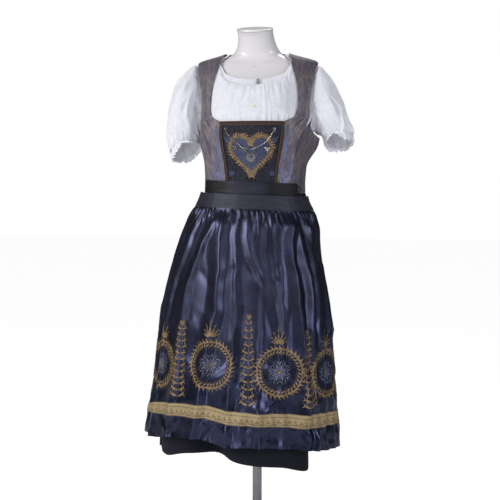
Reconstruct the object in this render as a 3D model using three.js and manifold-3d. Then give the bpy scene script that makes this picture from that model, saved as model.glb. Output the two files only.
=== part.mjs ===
// A folk dress (dress with bodice, apron, short-sleeved blouse) worn by a limbless dress form on a stand.
// Millimetres, +Z up, the front faces -Y, origin on the floor under the middle of the pole.
// Every piece of cloth is a thin wall on a ring surface: one row of a table is one height.
import * as THREE from "three";
import Module from "manifold-3d";

// ---------- driving sizes ----------
const CLOTH = 1.6; // wall of bodice, skirt and apron cloth
const FINE = 1.2; // wall of the blouse and of ribbons
const SEAM = 0.9; // gap left where two panels are sewn edge to edge
const WAIST_Z = 1003; // seam between bodice and skirt
const ROLL = 0.037; // the dress hangs lower towards +X, as a slope
const APRON_TOP = 958;
const DEG = Math.PI / 180;

// ---------- tables: a = half width, f = front depth, b = back depth, n = squareness ----------
const FORM = [
  { z: 800, a: 128, f: 80, b: 92, n: 2.2 },
  { z: 812, a: 144, f: 90, b: 104, n: 2.2 },
  { z: 840, a: 152, f: 95, b: 110, n: 2.2 },
  { z: 880, a: 153, f: 95, b: 108, n: 2.2 },
  { z: 930, a: 145, f: 91, b: 98, n: 2.15 },
  { z: 990, a: 134, f: 88, b: 88, n: 2.1 },
  { z: 1040, a: 132, f: 90, b: 84, n: 2.1 },
  { z: 1090, a: 137, f: 98, b: 86, n: 2.15 },
  { z: 1140, a: 145, f: 111, b: 91, n: 2.25 },
  { z: 1185, a: 150, f: 119, b: 95, n: 2.3 },
  { z: 1225, a: 151, f: 113, b: 98, n: 2.25 },
  { z: 1270, a: 151, f: 99, b: 99, n: 2.2 },
  { z: 1310, a: 152, f: 84, b: 96, n: 2.15 },
  { z: 1345, a: 154, f: 72, b: 90, n: 2.1 },
  { z: 1370, a: 153, f: 64, b: 82, n: 2.05 },
  { z: 1383, a: 147, f: 60, b: 72, n: 2 },
  { z: 1389, a: 134, f: 57, b: 67, n: 2 },
  { z: 1395.5, a: 117, f: 55, b: 63, n: 2 },
  { z: 1401, a: 101, f: 54, b: 60, n: 2 },
  { z: 1406, a: 87, f: 53, b: 57, n: 2 },
  { z: 1411, a: 77, f: 52, b: 55, n: 2 },
  { z: 1417, a: 70, f: 51, b: 53, n: 2 },
  { z: 1425, a: 64, f: 50, b: 51, n: 2 },
  { z: 1436, a: 58, f: 49, b: 50, n: 2 },
  { z: 1452, a: 53.8, f: 48.5, b: 49, n: 2 },
  { z: 1464, a: 52, f: 48.5, b: 49, n: 2 },
];
const BODY = [
  { z: 950, a: 160, f: 110, b: 112, n: 2.1 },
  { z: 990, a: 151, f: 103, b: 102, n: 2.1 },
  { z: 1040, a: 149, f: 103, b: 98, n: 2.1 },
  { z: 1090, a: 152, f: 110, b: 99, n: 2.15 },
  { z: 1140, a: 159, f: 123, b: 103, n: 2.25 },
  { z: 1185, a: 165, f: 131, b: 107, n: 2.3 },
  { z: 1225, a: 167, f: 126, b: 110, n: 2.25 },
  { z: 1270, a: 169, f: 112, b: 111, n: 2.2 },
  { z: 1310, a: 173, f: 97, b: 108, n: 2.15 },
  { z: 1345, a: 179, f: 85, b: 102, n: 2.1 },
  { z: 1370, a: 182, f: 76, b: 94, n: 2.05 },
  { z: 1382, a: 181, f: 71, b: 88, n: 2 },
  { z: 1389.5, a: 175, f: 67, b: 80, n: 2 },
  { z: 1395, a: 161, f: 65, b: 75, n: 2 },
  { z: 1400.5, a: 141, f: 63, b: 72, n: 2 },
  { z: 1405, a: 123, f: 62, b: 69, n: 2 },
  { z: 1410, a: 106, f: 61, b: 66, n: 2 },
  { z: 1414.5, a: 94, f: 60, b: 64, n: 2 },
  { z: 1419, a: 85, f: 59, b: 62, n: 2 },
  { z: 1428, a: 76, f: 58, b: 60, n: 2 },
];
// Where the middle of each ring lies: the figure leans a little to +X and its neck comes forward.
const CENTRE = [
  { z: 1020, x: -7, y: 0 },
  { z: 1160, x: -3, y: 0 },
  { z: 1300, x: 0, y: 0 },
  { z: 1345, x: 0, y: 4 },
  { z: 1375, x: 0, y: 10 },
  { z: 1395, x: 0, y: 13 },
  { z: 1409, x: 0, y: 11 },
  { z: 1422, x: 0, y: 4 },
  { z: 1440, x: 0, y: -8 },
  { z: 1456, x: -1, y: -18 },
  { z: 1480, x: -2, y: -32 },
];
// l and r are the half widths to -X and +X
const SKIRT = [
  { z: 1003, l: 158, r: 143, f: 103, b: 101, n: 2.1 },
  { z: 982, l: 164, r: 145, f: 108, b: 108, n: 2.1 },
  { z: 955, l: 173, r: 153, f: 114, b: 118, n: 2.05 },
  { z: 915, l: 190, r: 161, f: 124, b: 134, n: 2 },
  { z: 850, l: 211, r: 168, f: 134, b: 152, n: 2 },
  { z: 700, l: 246, r: 186, f: 152, b: 184, n: 2 },
  { z: 500, l: 272, r: 202, f: 168, b: 214, n: 2 },
  { z: 380, l: 284, r: 208, f: 178, b: 228, n: 2 },
  { z: 215, l: 294, r: 214, f: 190, b: 242, n: 2 },
];
const APRON = [
  { z: 1003, l: 167, r: 150, f: 112, b: 108, n: 2.1 },
  { z: 985, l: 173, r: 154, f: 117, b: 114, n: 2.1 },
  { z: 958, l: 185, r: 167, f: 127, b: 126, n: 2.05 },
  { z: 912, l: 211, r: 181, f: 144, b: 146, n: 2 },
  { z: 850, l: 236, r: 188, f: 158, b: 164, n: 2 },
  { z: 775, l: 253, r: 197, f: 170, b: 180, n: 2 },
  { z: 700, l: 270, r: 210, f: 180, b: 195, n: 2 },
  { z: 610, l: 286, r: 220, f: 190, b: 208, n: 2 },
  { z: 489, l: 300, r: 229, f: 201, b: 226, n: 2 },
  { z: 381, l: 315, r: 236, f: 210, b: 240, n: 2 },
  { z: 248, l: 341, r: 246, f: 218, b: 254, n: 2 },
];
// Heights of the ribbon trim and of the two hems round the figure (degrees from the front, + towards +X).
const LEVELS = [
  { deg: -100, trim: 360, low: 335, hem: 277 },
  { deg: -85, trim: 363, low: 336, hem: 276 },
  { deg: -65, trim: 381, low: 346, hem: 276 },
  { deg: -45, trim: 393, low: 354, hem: 291 },
  { deg: -25, trim: 399, low: 360, hem: 299 },
  { deg: -10, trim: 387, low: 348, hem: 282 },
  { deg: 0, trim: 385, low: 346, hem: 284 },
  { deg: 22, trim: 382, low: 343, hem: 281 },
  { deg: 38, trim: 375, low: 333, hem: 272 },
  { deg: 55, trim: 368, low: 326, hem: 259 },
  { deg: 80, trim: 359, low: 320, hem: 250 },
  { deg: 100, trim: 354, low: 316, hem: 248 },
];
const SKIRT_LEVELS = [
  { deg: -90, hem: 225 },
  { deg: -64, hem: 219 },
  { deg: -40, hem: 240 },
  { deg: -18, hem: 241 },
  { deg: -10, hem: 232 },
  { deg: 0, hem: 226 },
  { deg: 24, hem: 219 },
  { deg: 50, hem: 197 },
  { deg: 68, hem: 228 },
  { deg: 90, hem: 236 },
  { deg: 180, hem: 232 },
  { deg: 270, hem: 225 },
];
// Edges of the body panels as x and z on the ring surface, or x and y near the shoulder ridge.
const STOMACHER_EDGE = [
  { x: 73, z: 1004 },
  { x: 74, z: 1045 },
  { x: 78, z: 1085 },
  { x: 84, z: 1125 },
  { x: 90, z: 1165 },
  { x: 91, z: 1207 },
];
const FRONT_INNER = [
  ...STOMACHER_EDGE.slice(0, 5),
  { x: 91, z: 1200 },
  { x: 96, z: 1211 },
  { x: 108, z: 1216 },
  { x: 118, z: 1223 },
  { x: 125, z: 1236 },
  { x: 129, z: 1256 },
  { x: 126, z: 1302 },
  { x: 120, z: 1332 },
  { x: 112, z: 1360 },
  { x: 105, z: 1383 },
  { x: 99, y: 44 },
  { x: 95, y: 22 },
  { x: 92, y: 0 },
];
const FRONT_OUTER = [
  { x: 112, z: 1004 },
  { x: 114, z: 1045 },
  { x: 119, z: 1085 },
  { x: 126, z: 1120 },
  { x: 135, z: 1150 },
  { x: 142, z: 1172 },
  { x: 148, z: 1189 },
  { x: 153, z: 1202 },
  { x: 157, z: 1213 },
  { x: 160, z: 1227 },
  { x: 159, z: 1255 },
  { x: 163, z: 1300 },
  { x: 167, z: 1325 },
  { x: 171, z: 1348 },
  { x: 174, z: 1366 },
  { x: 176.5, z: 1378 },
  { x: 177.5, z: 1384 },
  { x: 178, y: 0 },
];
const BACK_INNER = [
  { x: 0, z: 1004 },
  { x: 0, z: 1070 },
  { x: 0, z: 1140 },
  { x: 0, z: 1210 },
  { x: 0, z: 1280 },
  { x: 32, z: 1284 },
  { x: 64, z: 1299 },
  { x: 85, z: 1328 },
  { x: 94, z: 1368 },
  { x: 96, y: 50 },
  { x: 94, y: 25 },
  { x: 92, y: 0 },
];
const BACK_OUTER = [
  { x: 96, z: 1004 },
  { x: 101, z: 1050 },
  { x: 109, z: 1095 },
  { x: 120, z: 1140 },
  { x: 134, z: 1180 },
  { x: 148, z: 1216 },
  { x: 154, z: 1240 },
  { x: 159, z: 1280 },
  { x: 168, z: 1334 },
  { x: 174, z: 1364 },
  { x: 177.3, z: 1382 },
  { x: 178, y: 0 },
];
const BLOUSE_INNER = [
  { x: 0, z: 1120 },
  { x: 0, z: 1170 },
  { x: 0, z: 1220 },
  { x: 0, z: 1270 },
  { x: 0, z: 1314 },
  { x: 36, z: 1316 },
  { x: 68, z: 1325 },
  { x: 92, z: 1341 },
  { x: 101, z: 1362 },
  { x: 97, y: 44 },
  { x: 91, y: 22 },
  { x: 88, y: 0 },
];
const BLOUSE_OUTER = [
  { x: 156, z: 1120 },
  { x: 160, z: 1140 },
  { x: 162.5, z: 1160 },
  { x: 163, z: 1176 },
  { x: 152, z: 1190 },
  { x: 146, z: 1210 },
  { x: 143, z: 1240 },
  { x: 145, z: 1275 },
  { x: 149, z: 1310 },
  { x: 156, z: 1350 },
  { x: 164, y: 24 },
  { x: 165, y: 0 },
];
const BLOUSE_BACK_INNER = [
  { x: 0, z: 1120 },
  { x: 0, z: 1170 },
  { x: 0, z: 1220 },
  { x: 0, z: 1260 },
  { x: 0, z: 1297 },
  { x: 32, z: 1301 },
  { x: 60, z: 1315 },
  { x: 79, z: 1343 },
  { x: 88, z: 1378 },
  { x: 90, y: 50 },
  { x: 88, y: 25 },
  { x: 87, y: 0 },
];
const BLOUSE_BACK_OUTER = BLOUSE_OUTER.map((e) => ({ ...e }));
// Sleeves: the outer and the inner end of each ring seen from the front, its half depth, how far its front edge is lifted.
const SLEEVE_RIGHT = [
  { ox: 186, oz: 1375, ix: 174, iz: 1190, d: 48, lift: 2 },
  { ox: 202, oz: 1358, ix: 178, iz: 1185, d: 61, lift: 5 },
  { ox: 224, oz: 1327, ix: 183, iz: 1180, d: 70, lift: 10 },
  { ox: 246, oz: 1281, ix: 188, iz: 1176, d: 74, lift: 16 },
  { ox: 265, oz: 1236, ix: 193, iz: 1168, d: 71, lift: 19 },
  { ox: 279, oz: 1196, ix: 197, iz: 1161, d: 64, lift: 22 },
  { ox: 285, oz: 1166, ix: 200, iz: 1154, d: 56, lift: 24 },
];
const SLEEVE_LEFT = [
  { ox: 190, oz: 1382, ix: 172, iz: 1190, d: 48, lift: 1 },
  { ox: 213, oz: 1367, ix: 173, iz: 1185, d: 61, lift: 3 },
  { ox: 238, oz: 1334, ix: 174, iz: 1180, d: 72, lift: 6 },
  { ox: 256, oz: 1284, ix: 175, iz: 1174, d: 78, lift: 10 },
  { ox: 267, oz: 1225, ix: 176, iz: 1166, d: 76, lift: 15 },
  { ox: 271, oz: 1166, ix: 177, iz: 1157, d: 66, lift: 20 },
  { ox: 264, oz: 1115, ix: 179, iz: 1150, d: 54, lift: 24 },
];
// Main folds of the apron: angle at the top and the hem (degrees from the front), half width in degrees at both ends, height, start.
const APRON_FOLDS = [
  { top: -84, hem: -86, wTop: 5, wHem: 7, high: 9, from: 930 },
  { top: -58, hem: -62, wTop: 4, wHem: 6, high: 8, from: 900 },
  { top: -37, hem: -48, wTop: 4, wHem: 7, high: 10, from: 930 },
  { top: -22, hem: -30, wTop: 4, wHem: 7, high: 11, from: 930 },
  { top: -9, hem: -11, wTop: 4, wHem: 6, high: 10, from: 940 },
  { top: 10, hem: 7, wTop: 4, wHem: 6, high: 9, from: 930 },
  { top: 22, hem: 24, wTop: 4, wHem: 6, high: 9, from: 940 },
  { top: 36, hem: 42, wTop: 4, wHem: 8, high: 11, from: 930 },
  { top: 52, hem: 60, wTop: 4, wHem: 7, high: 8, from: 900 },
  { top: 76, hem: 82, wTop: 5, wHem: 7, high: 8, from: 900 },
];
// Folds of the skirt under the apron and at the back: negative height is a hollow.
const SKIRT_FOLDS = [
  { top: -24, hem: -25, wTop: 6, wHem: 12, high: -58, from: 560 },
  { top: 12, hem: 14, wTop: 8, wHem: 30, high: 4, from: 700 },
  { top: 66, hem: 70, wTop: 6, wHem: 13, high: -62, from: 560 },
  { top: 110, hem: 108, wTop: 4, wHem: 7, high: 15, from: 930 },
  { top: 126, hem: 127, wTop: 4, wHem: 6, high: 13, from: 940 },
  { top: 143, hem: 141, wTop: 4, wHem: 7, high: 16, from: 920 },
  { top: 160, hem: 158, wTop: 4, wHem: 6, high: 12, from: 940 },
  { top: 177, hem: 176, wTop: 4, wHem: 7, high: 16, from: 930 },
  { top: 193, hem: 194, wTop: 4, wHem: 6, high: 13, from: 940 },
  { top: 209, hem: 211, wTop: 4, wHem: 7, high: 15, from: 920 },
  { top: 226, hem: 229, wTop: 4, wHem: 7, high: 13, from: 940 },
  { top: 244, hem: 247, wTop: 4, wHem: 7, high: 15, from: 930 },
];

// ---------- interpolation ----------
const clamp = (v, lo, hi) => Math.min(hi, Math.max(lo, v));
const mix = (p, q, t) => p + (q - p) * t;
const smooth = (t) => {
  t = clamp(t, 0, 1);
  return t * t * (3 - 2 * t);
};
// One column of a table at x, along a curve that keeps between its rows (Fritsch and Carlson).
function column(rows, at, key, x) {
  const up = rows[1][at] > rows[0][at];
  const r = up ? rows : [...rows].reverse();
  if (x <= r[0][at]) return r[0][key];
  const last = r.length - 1;
  if (x >= r[last][at]) return r[last][key];
  let i = 0;
  while (x > r[i + 1][at]) i++;
  const slope = (k) =>
    k < 0 || k >= last
      ? null
      : (r[k + 1][key] - r[k][key]) / (r[k + 1][at] - r[k][at]);
  const tangent = (k) => {
    const p = slope(k - 1),
      q = slope(k);
    if (p === null) return q;
    if (q === null) return p;
    return p * q <= 0 ? 0 : (2 * p * q) / (p + q);
  };
  const h = r[i + 1][at] - r[i][at],
    t = (x - r[i][at]) / h;
  const t2 = t * t,
    t3 = t2 * t;
  return (
    (2 * t3 - 3 * t2 + 1) * r[i][key] +
    (t3 - 2 * t2 + t) * h * tangent(i) +
    (3 * t2 - 2 * t3) * r[i + 1][key] +
    (t3 - t2) * h * tangent(i + 1)
  );
}
const power = (v, e) => Math.sign(v) * Math.pow(Math.abs(v), e);

// Point on a ring surface. Angle 0 is the front (-Y), 90 is +X.
function ring(table, angle, z) {
  const s = Math.sin(angle),
    c = Math.cos(angle);
  const e = 2 / column(table, "z", "n", z);
  const figure = table[0].a !== undefined;
  const side = column(table, "z", figure ? "a" : s > 0 ? "r" : "l", z);
  const depth = column(table, "z", c > 0 ? "f" : "b", z);
  return new THREE.Vector3(
    side * power(s, e) + (figure ? column(CENTRE, "z", "x", z) : 0),
    -depth * power(c, e) + (figure ? column(CENTRE, "z", "y", z) : 0),
    z,
  );
}
function ringNormal(table, angle, z) {
  const da = 0.01,
    dz = 0.6;
  const u = ring(table, angle + da, z).sub(ring(table, angle - da, z));
  const v = ring(table, angle, z + dz).sub(ring(table, angle, z - dz));
  return u.cross(v).normalize();
}
const ridgeDepth = (x, z) => {
  const a = column(BODY, "z", "a", z);
  return x >= a ? 0 : 1 - Math.pow(x / a, column(BODY, "z", "n", z));
};
// Turns an edge entry (x and z, or x and y) into an angle and a height on the body, on the front or the back.
function place(entry, back) {
  let z = entry.z;
  if (z === undefined) {
    let lo = 1330,
      hi = 1440;
    const y = Math.max(entry.y, 0.5);
    const depth = back ? "b" : "f";
    for (let k = 0; k < 60; k++) {
      z = (lo + hi) / 2;
      const n = column(BODY, "z", "n", z);
      const here =
        column(BODY, "z", depth, z) * Math.pow(ridgeDepth(entry.x, z), 1 / n);
      if (here > y) lo = z;
      else hi = z;
    }
  }
  const a = column(BODY, "z", "a", z),
    n = column(BODY, "z", "n", z);
  const t = Math.asin(clamp(Math.pow(clamp(entry.x / a, 0, 1), n / 2), 0, 1));
  return { angle: back ? Math.PI - t : t, z };
}
const placeAll = (edge, back) => edge.map((e) => place(e, back));
function along(points, t) {
  const k = clamp(t, 0, 1) * (points.length - 1),
    i = Math.min(Math.floor(k), points.length - 2);
  return {
    angle: mix(points[i].angle, points[i + 1].angle, k - i),
    z: mix(points[i].z, points[i + 1].z, k - i),
  };
}

// ---------- closed walls ----------
// outer(u, v) and inner(u, v) give the two faces for u and v from 0 to 1; wrap closes it round u.
function wall({ nu, nv, outer, inner, wrap = false }) {
  const cols = wrap ? nu : nu + 1,
    rows = nv + 1,
    pos = [],
    tri = [];
  for (const face of [outer, inner])
    for (let j = 0; j < rows; j++)
      for (let i = 0; i < cols; i++) {
        const p = face(i / nu, j / nv);
        pos.push(p.x, p.y, p.z);
      }
  const id = (side, i, j) => side * cols * rows + j * cols + (i % cols);
  const quad = (a, b, c, d) => tri.push(a, b, c, a, c, d);
  for (let j = 0; j < nv; j++)
    for (let i = 0; i < nu; i++) {
      quad(id(0, i, j), id(0, i + 1, j), id(0, i + 1, j + 1), id(0, i, j + 1));
      quad(id(1, i, j), id(1, i, j + 1), id(1, i + 1, j + 1), id(1, i + 1, j));
    }
  for (let i = 0; i < nu; i++) {
    quad(id(0, i, 0), id(1, i, 0), id(1, i + 1, 0), id(0, i + 1, 0));
    quad(id(0, i, nv), id(0, i + 1, nv), id(1, i + 1, nv), id(1, i, nv));
  }
  if (!wrap)
    for (let j = 0; j < nv; j++) {
      quad(id(0, 0, j), id(0, 0, j + 1), id(1, 0, j + 1), id(1, 0, j));
      quad(id(0, nu, j), id(1, nu, j), id(1, nu, j + 1), id(0, nu, j + 1));
    }
  return facingOut(pos, tri);
}
function facingOut(pos, tri) {
  let volume = 0;
  const v = (k) => new THREE.Vector3(...pos.slice(3 * k, 3 * k + 3));
  for (let k = 0; k < tri.length; k += 3)
    volume += v(tri[k]).dot(v(tri[k + 1]).cross(v(tri[k + 2])));
  if (volume < 0)
    for (let k = 0; k < tri.length; k += 3)
      [tri[k + 1], tri[k + 2]] = [tri[k + 2], tri[k + 1]];
  return new THREE.BufferGeometry()
    .setAttribute("position", new THREE.Float32BufferAttribute(pos, 3))
    .setIndex(tri);
}
const onBody = (angle, z, lift) =>
  ring(BODY, angle, z).addScaledVector(ringNormal(BODY, angle, z), lift);
// A wall on the body surface: at(u, v) gives angle and z, low and thick say where the wall lies on the normal.
function bodyWall({ nu, nv, at, low, thick, flip = 1, more = () => 0 }) {
  const face = (lift) => (u, v) => {
    const { angle, z } = at(u, v);
    return onBody(flip * angle, z, lift + more(angle, z));
  };
  return wall({ nu, nv, outer: face(low + thick), inner: face(low) });
}
// A panel between two edges on the front or the back.
function panel({ inner, outer, back, nu, nv, low, thick, flip, gapIn = SEAM / 2, gapOut = SEAM / 2, top = 0, more }) {
  const pin = placeAll(inner, back),
    pout = placeAll(outer, back);
  const inset = (q, mm) => q / Math.max(column(BODY, "z", "a", mm), 1);
  return bodyWall({
    nu,
    nv,
    low,
    thick,
    flip,
    more,
    at: (u, v) => {
      const t = v * (1 - top);
      const p = along(pin, t),
        q = along(pout, t);
      const sign = back ? -1 : 1;
      const a = p.angle + sign * inset(gapIn, p.z),
        b = q.angle - sign * inset(gapOut, q.z);
      return { angle: mix(a, b, u), z: mix(p.z, q.z, u) };
    },
  });
}

const wasm = await Module();
wasm.setup();
function join(first, second) {
  const solid = (g) =>
    new wasm.Manifold(
      new wasm.Mesh({
        numProp: 3,
        vertProperties: new Float32Array(g.attributes.position.array),
        triVerts: new Uint32Array(g.index.array),
      }),
    );
  const m = solid(first).add(solid(second)).getMesh();
  return new THREE.BufferGeometry()
    .setAttribute(
      "position",
      new THREE.Float32BufferAttribute(Array.from(m.vertProperties), 3),
    )
    .setIndex(Array.from(m.triVerts));
}

// ---------- folds ----------
const bump = (d, w) => Math.exp(-(d / w) * (d / w));
function foldHeight(folds, top, hem, angle, z) {
  const deg = angle / DEG;
  let sum = 0;
  for (const f of folds) {
    const t = clamp((top - z) / (top - hem), 0, 1);
    const centre = mix(f.top, f.hem, t),
      width = mix(f.wTop, f.wHem, t);
    let d = deg - centre;
    d -= 360 * Math.round(d / 360);
    const grow = smooth((f.from - z) / (0.55 * (f.from - hem)));
    sum += f.high * grow * bump(d, width);
  }
  return sum;
}
// Small gathers under a waistband that die out downwards.
const gathers = (angle, z, top, count, high) =>
  high * Math.cos(angle * count) * (1 - smooth((top - z) / 110)) * smooth((top - z) / 12);
function hanging(table, folds, top, hem, count) {
  return (angle, z, lift) => {
    const p = ring(table, angle, z);
    const n = ringNormal(table, angle, z);
    n.z = 0;
    n.normalize();
    p.addScaledVector(n, lift + foldHeight(folds, top, hem, angle, z) + gathers(angle, z, top, count, 2.4));
    p.z -= ROLL * p.x * smooth((1010 - z) / 30) * smooth((z - 600) / 350);
    return p;
  };
}
const skirtAt = hanging(SKIRT, SKIRT_FOLDS, 1000, 215, 45);
const apronAt = hanging(APRON, APRON_FOLDS, APRON_TOP, 290, 54);
// Height on the apron: w runs 0 to 1 down to the trim, to 2 over the trim and to 3 at the hem.
function apronZ(angle, w) {
  const at = (key) => column(LEVELS, "deg", key, angle / DEG);
  const stops = [APRON_TOP - 0.6, at("trim"), at("low"), at("hem")];
  const i = Math.min(Math.floor(w), 2);
  return mix(stops[i], stops[i + 1], w - i);
}
const APRON_ROWS = [0, 0.05, 0.12, 0.22, 0.36, 0.54, 0.76, 1, 2, 3];

// ---------- colours ----------
const paint = (color, roughness, metalness = 0) =>
  new THREE.MeshStandardMaterial({ color, roughness, metalness });
const BROCADE = paint(0x5d5560, 0.6),
  NAVY = paint(0x23273a, 0.38),
  PLAIN_NAVY = paint(0x161b2c, 0.7),
  SATIN = paint(0x1b1a20, 0.35),
  WHITE = paint(0xe9e9f1, 0.85),
  GOLD = paint(0xa08d5e, 0.5),
  BROWN = paint(0x38241c, 0.8),
  DARK = paint(0x14161f, 0.6),
  SILVER = paint(0xc4bfb2, 0.3, 1),
  FORM_SKIN = paint(0xd9d6d6, 0.3),
  STEEL = paint(0x8a8c8e, 0.35, 1);

const object = new THREE.Group();
function add(name, geometry, material, place) {
  const mesh = new THREE.Mesh(geometry, material);
  mesh.name = name;
  if (place) place(mesh);
  object.add(mesh);
  return mesh;
}

// ---------- stand and dress form ----------
const BASE_R = 165,
  BASE_H = 8,
  POLE_R = 14,
  SOCKET_LOW = 778;
const lathe = (points, n) =>
  new THREE.LatheGeometry(
    points.map(([r, z]) => new THREE.Vector2(r, z)),
    n,
  ).rotateX(Math.PI / 2);
add(
  "stand_base",
  lathe(
    [
      [0, 0],
      [BASE_R - 3, 0],
      [BASE_R, 3],
      [BASE_R, BASE_H - 4],
      [BASE_R - 5, BASE_H],
      [30, BASE_H + 4],
      [26, BASE_H + 30],
      [0, BASE_H + 30],
    ],
    28,
  ),
  STEEL,
);
add(
  "stand_pole",
  lathe(
    [
      [0, BASE_H + 30.3],
      [POLE_R, BASE_H + 30.3],
      [POLE_R, SOCKET_LOW - 0.3],
      [0, SOCKET_LOW - 0.3],
    ],
    16,
  ),
  STEEL,
);
add(
  "form_socket",
  lathe(
    [
      [0, SOCKET_LOW],
      [24, SOCKET_LOW],
      [26, SOCKET_LOW + 12],
      [44, SOCKET_LOW + 17],
      [44, 799.6],
      [0, 799.6],
    ],
    24,
  ),
  STEEL,
);
// The torso: rings, a flat bottom, and a neck cut that slopes to the front.
const NECK_TOP = 1478,
  NECK_SLOPE = 0.25,
  FORM_COLS = 20;
const neckPoint = (angle, r, h) => {
  const low = ring(FORM, angle, 1464),
    x = column(CENTRE, "z", "x", NECK_TOP),
    y = column(CENTRE, "z", "y", NECK_TOP);
  const dx = low.x * r,
    dy = (low.y - column(CENTRE, "z", "y", 1464)) * r;
  return new THREE.Vector3(dx + x, dy + y, NECK_TOP + NECK_SLOPE * dy + h);
};
function formTorso() {
  const heights = FORM.map((r) => r.z),
    pos = [],
    tri = [];
  const rows = heights.length + 1;
  for (let j = 0; j < rows; j++)
    for (let i = 0; i < FORM_COLS; i++) {
      const angle = (i / FORM_COLS) * 2 * Math.PI;
      const z = heights[j];
      const p = j < heights.length ? ring(FORM, angle, z) : neckPoint(angle, 1, 0);
      if (j < heights.length) p.z += NECK_SLOPE * (p.y + 20) * smooth((z - 1440) / 60);
      pos.push(p.x, p.y, p.z);
    }
  const id = (i, j) => j * FORM_COLS + (i % FORM_COLS);
  for (let j = 0; j + 1 < rows; j++)
    for (let i = 0; i < FORM_COLS; i++)
      tri.push(id(i, j), id(i + 1, j), id(i + 1, j + 1), id(i, j), id(i + 1, j + 1), id(i, j + 1));
  const low = pos.length / 3,
    mid = neckPoint(0, 0, 0);
  pos.push(column(CENTRE, "z", "x", 800), 0, 800, mid.x, mid.y, mid.z);
  for (let i = 0; i < FORM_COLS; i++) {
    tri.push(low, id(i + 1, 0), id(i, 0));
    tri.push(low + 1, id(i, rows - 1), id(i + 1, rows - 1));
  }
  return facingOut(pos, tri);
}
add("form_torso", formTorso(), FORM_SKIN);
// The cap on the neck, parallel to the cut.
function neckCap() {
  const rows = [
    { r: 0, h: 0.4 },
    { r: 1.0, h: 0.4 },
    { r: 1.03, h: 1.6 },
    { r: 1.03, h: 4.6 },
    { r: 1.0, h: 6 },
    { r: 0, h: 6.6 },
  ];
  const pos = [],
    tri = [];
  rows.forEach(({ r, h }) => {
    const count = r === 0 ? 1 : FORM_COLS;
    for (let i = 0; i < count; i++) {
      const p = neckPoint((i / FORM_COLS) * 2 * Math.PI, r, h);
      pos.push(p.x, p.y, p.z);
    }
  });
  const first = [0, 1, 2, 3, 4].map((k) => (k ? 1 + (k - 1) * FORM_COLS : 0));
  const last = 1 + 4 * FORM_COLS;
  for (let i = 0; i < FORM_COLS; i++) {
    const k = (i + 1) % FORM_COLS;
    tri.push(0, first[1] + k, first[1] + i);
    for (let j = 1; j < 4; j++)
      tri.push(first[j] + i, first[j] + k, first[j + 1] + k, first[j] + i, first[j + 1] + k, first[j + 1] + i);
    tri.push(first[4] + i, first[4] + k, last);
  }
  return facingOut(pos, tri);
}
add("form_neck_cap", neckCap(), FORM_SKIN);

// ---------- blouse ----------
const BLOUSE_LOW = -6.2;
// The blouse stands full in the neck opening of the bodice.
const fullness = (angle, z) => {
  const x = Math.abs(Math.sin(angle)) * 160;
  return Math.cos(angle) > 0
    ? 9 * smooth((118 - x) / 60) * smooth((z - 1222) / 22) * smooth((1345 - z) / 50)
    : 0;
};
for (const [side, flip] of [
  ["left", -1],
  ["right", 1],
])
  add(
    "blouse_front_" + side,
    panel({ inner: BLOUSE_INNER, outer: BLOUSE_OUTER, back: false, nu: 6, nv: 11, low: BLOUSE_LOW, thick: FINE, flip, gapOut: 2, top: 0.002, more: fullness }),
    WHITE,
  );
const backHalf = (flip) =>
  panel({ inner: BLOUSE_BACK_INNER, outer: BLOUSE_BACK_OUTER, back: true, nu: 3, nv: 11, low: BLOUSE_LOW, thick: FINE, flip, gapIn: 0, gapOut: 2, top: 0.002 });
add("blouse_back", join(backHalf(1), backHalf(-1)), WHITE);
// Neckband: a narrow wall that stands on the neck edge all round.
const NECK_FRONT = placeAll(BLOUSE_INNER.slice(4), false),
  NECK_BACK = placeAll(BLOUSE_BACK_INNER.slice(4), true);
function neckEdge(u) {
  // u from 0 to 1: front middle, +X side, back middle, -X side
  const turn = ((u % 1) + 1) % 1;
  const q = turn < 0.5 ? turn * 4 : (1 - turn) * 4;
  const flip = turn < 0.5 ? 1 : -1;
  const at = q <= 1 ? along(NECK_FRONT, q) : along(NECK_BACK, 2 - q);
  return { ...at, flip };
}
const bandFace = (lift) => (u, v) => {
  const { angle, z, flip } = neckEdge(u);
  const p = onBody(flip * angle, z, lift + fullness(angle, z) * 0.35);
  const low = smooth((z - 1318) / 60);
  const toNeck = new THREE.Vector3(-p.x, -p.y * 0.5, 0).setLength(v * mix(2.5, 8, low));
  p.add(toNeck);
  p.z += 1.5 + v * mix(17, 6, low);
  return p;
};
add(
  "blouse_neckband",
  wall({ nu: 28, nv: 1, wrap: true, outer: bandFace(BLOUSE_LOW + 2.3), inner: bandFace(BLOUSE_LOW + 1.1) }),
  WHITE,
);

const BLOUSE_ARMHOLE = [placeAll(BLOUSE_OUTER.slice(3), false), placeAll(BLOUSE_BACK_OUTER.slice(3), true)];
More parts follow.
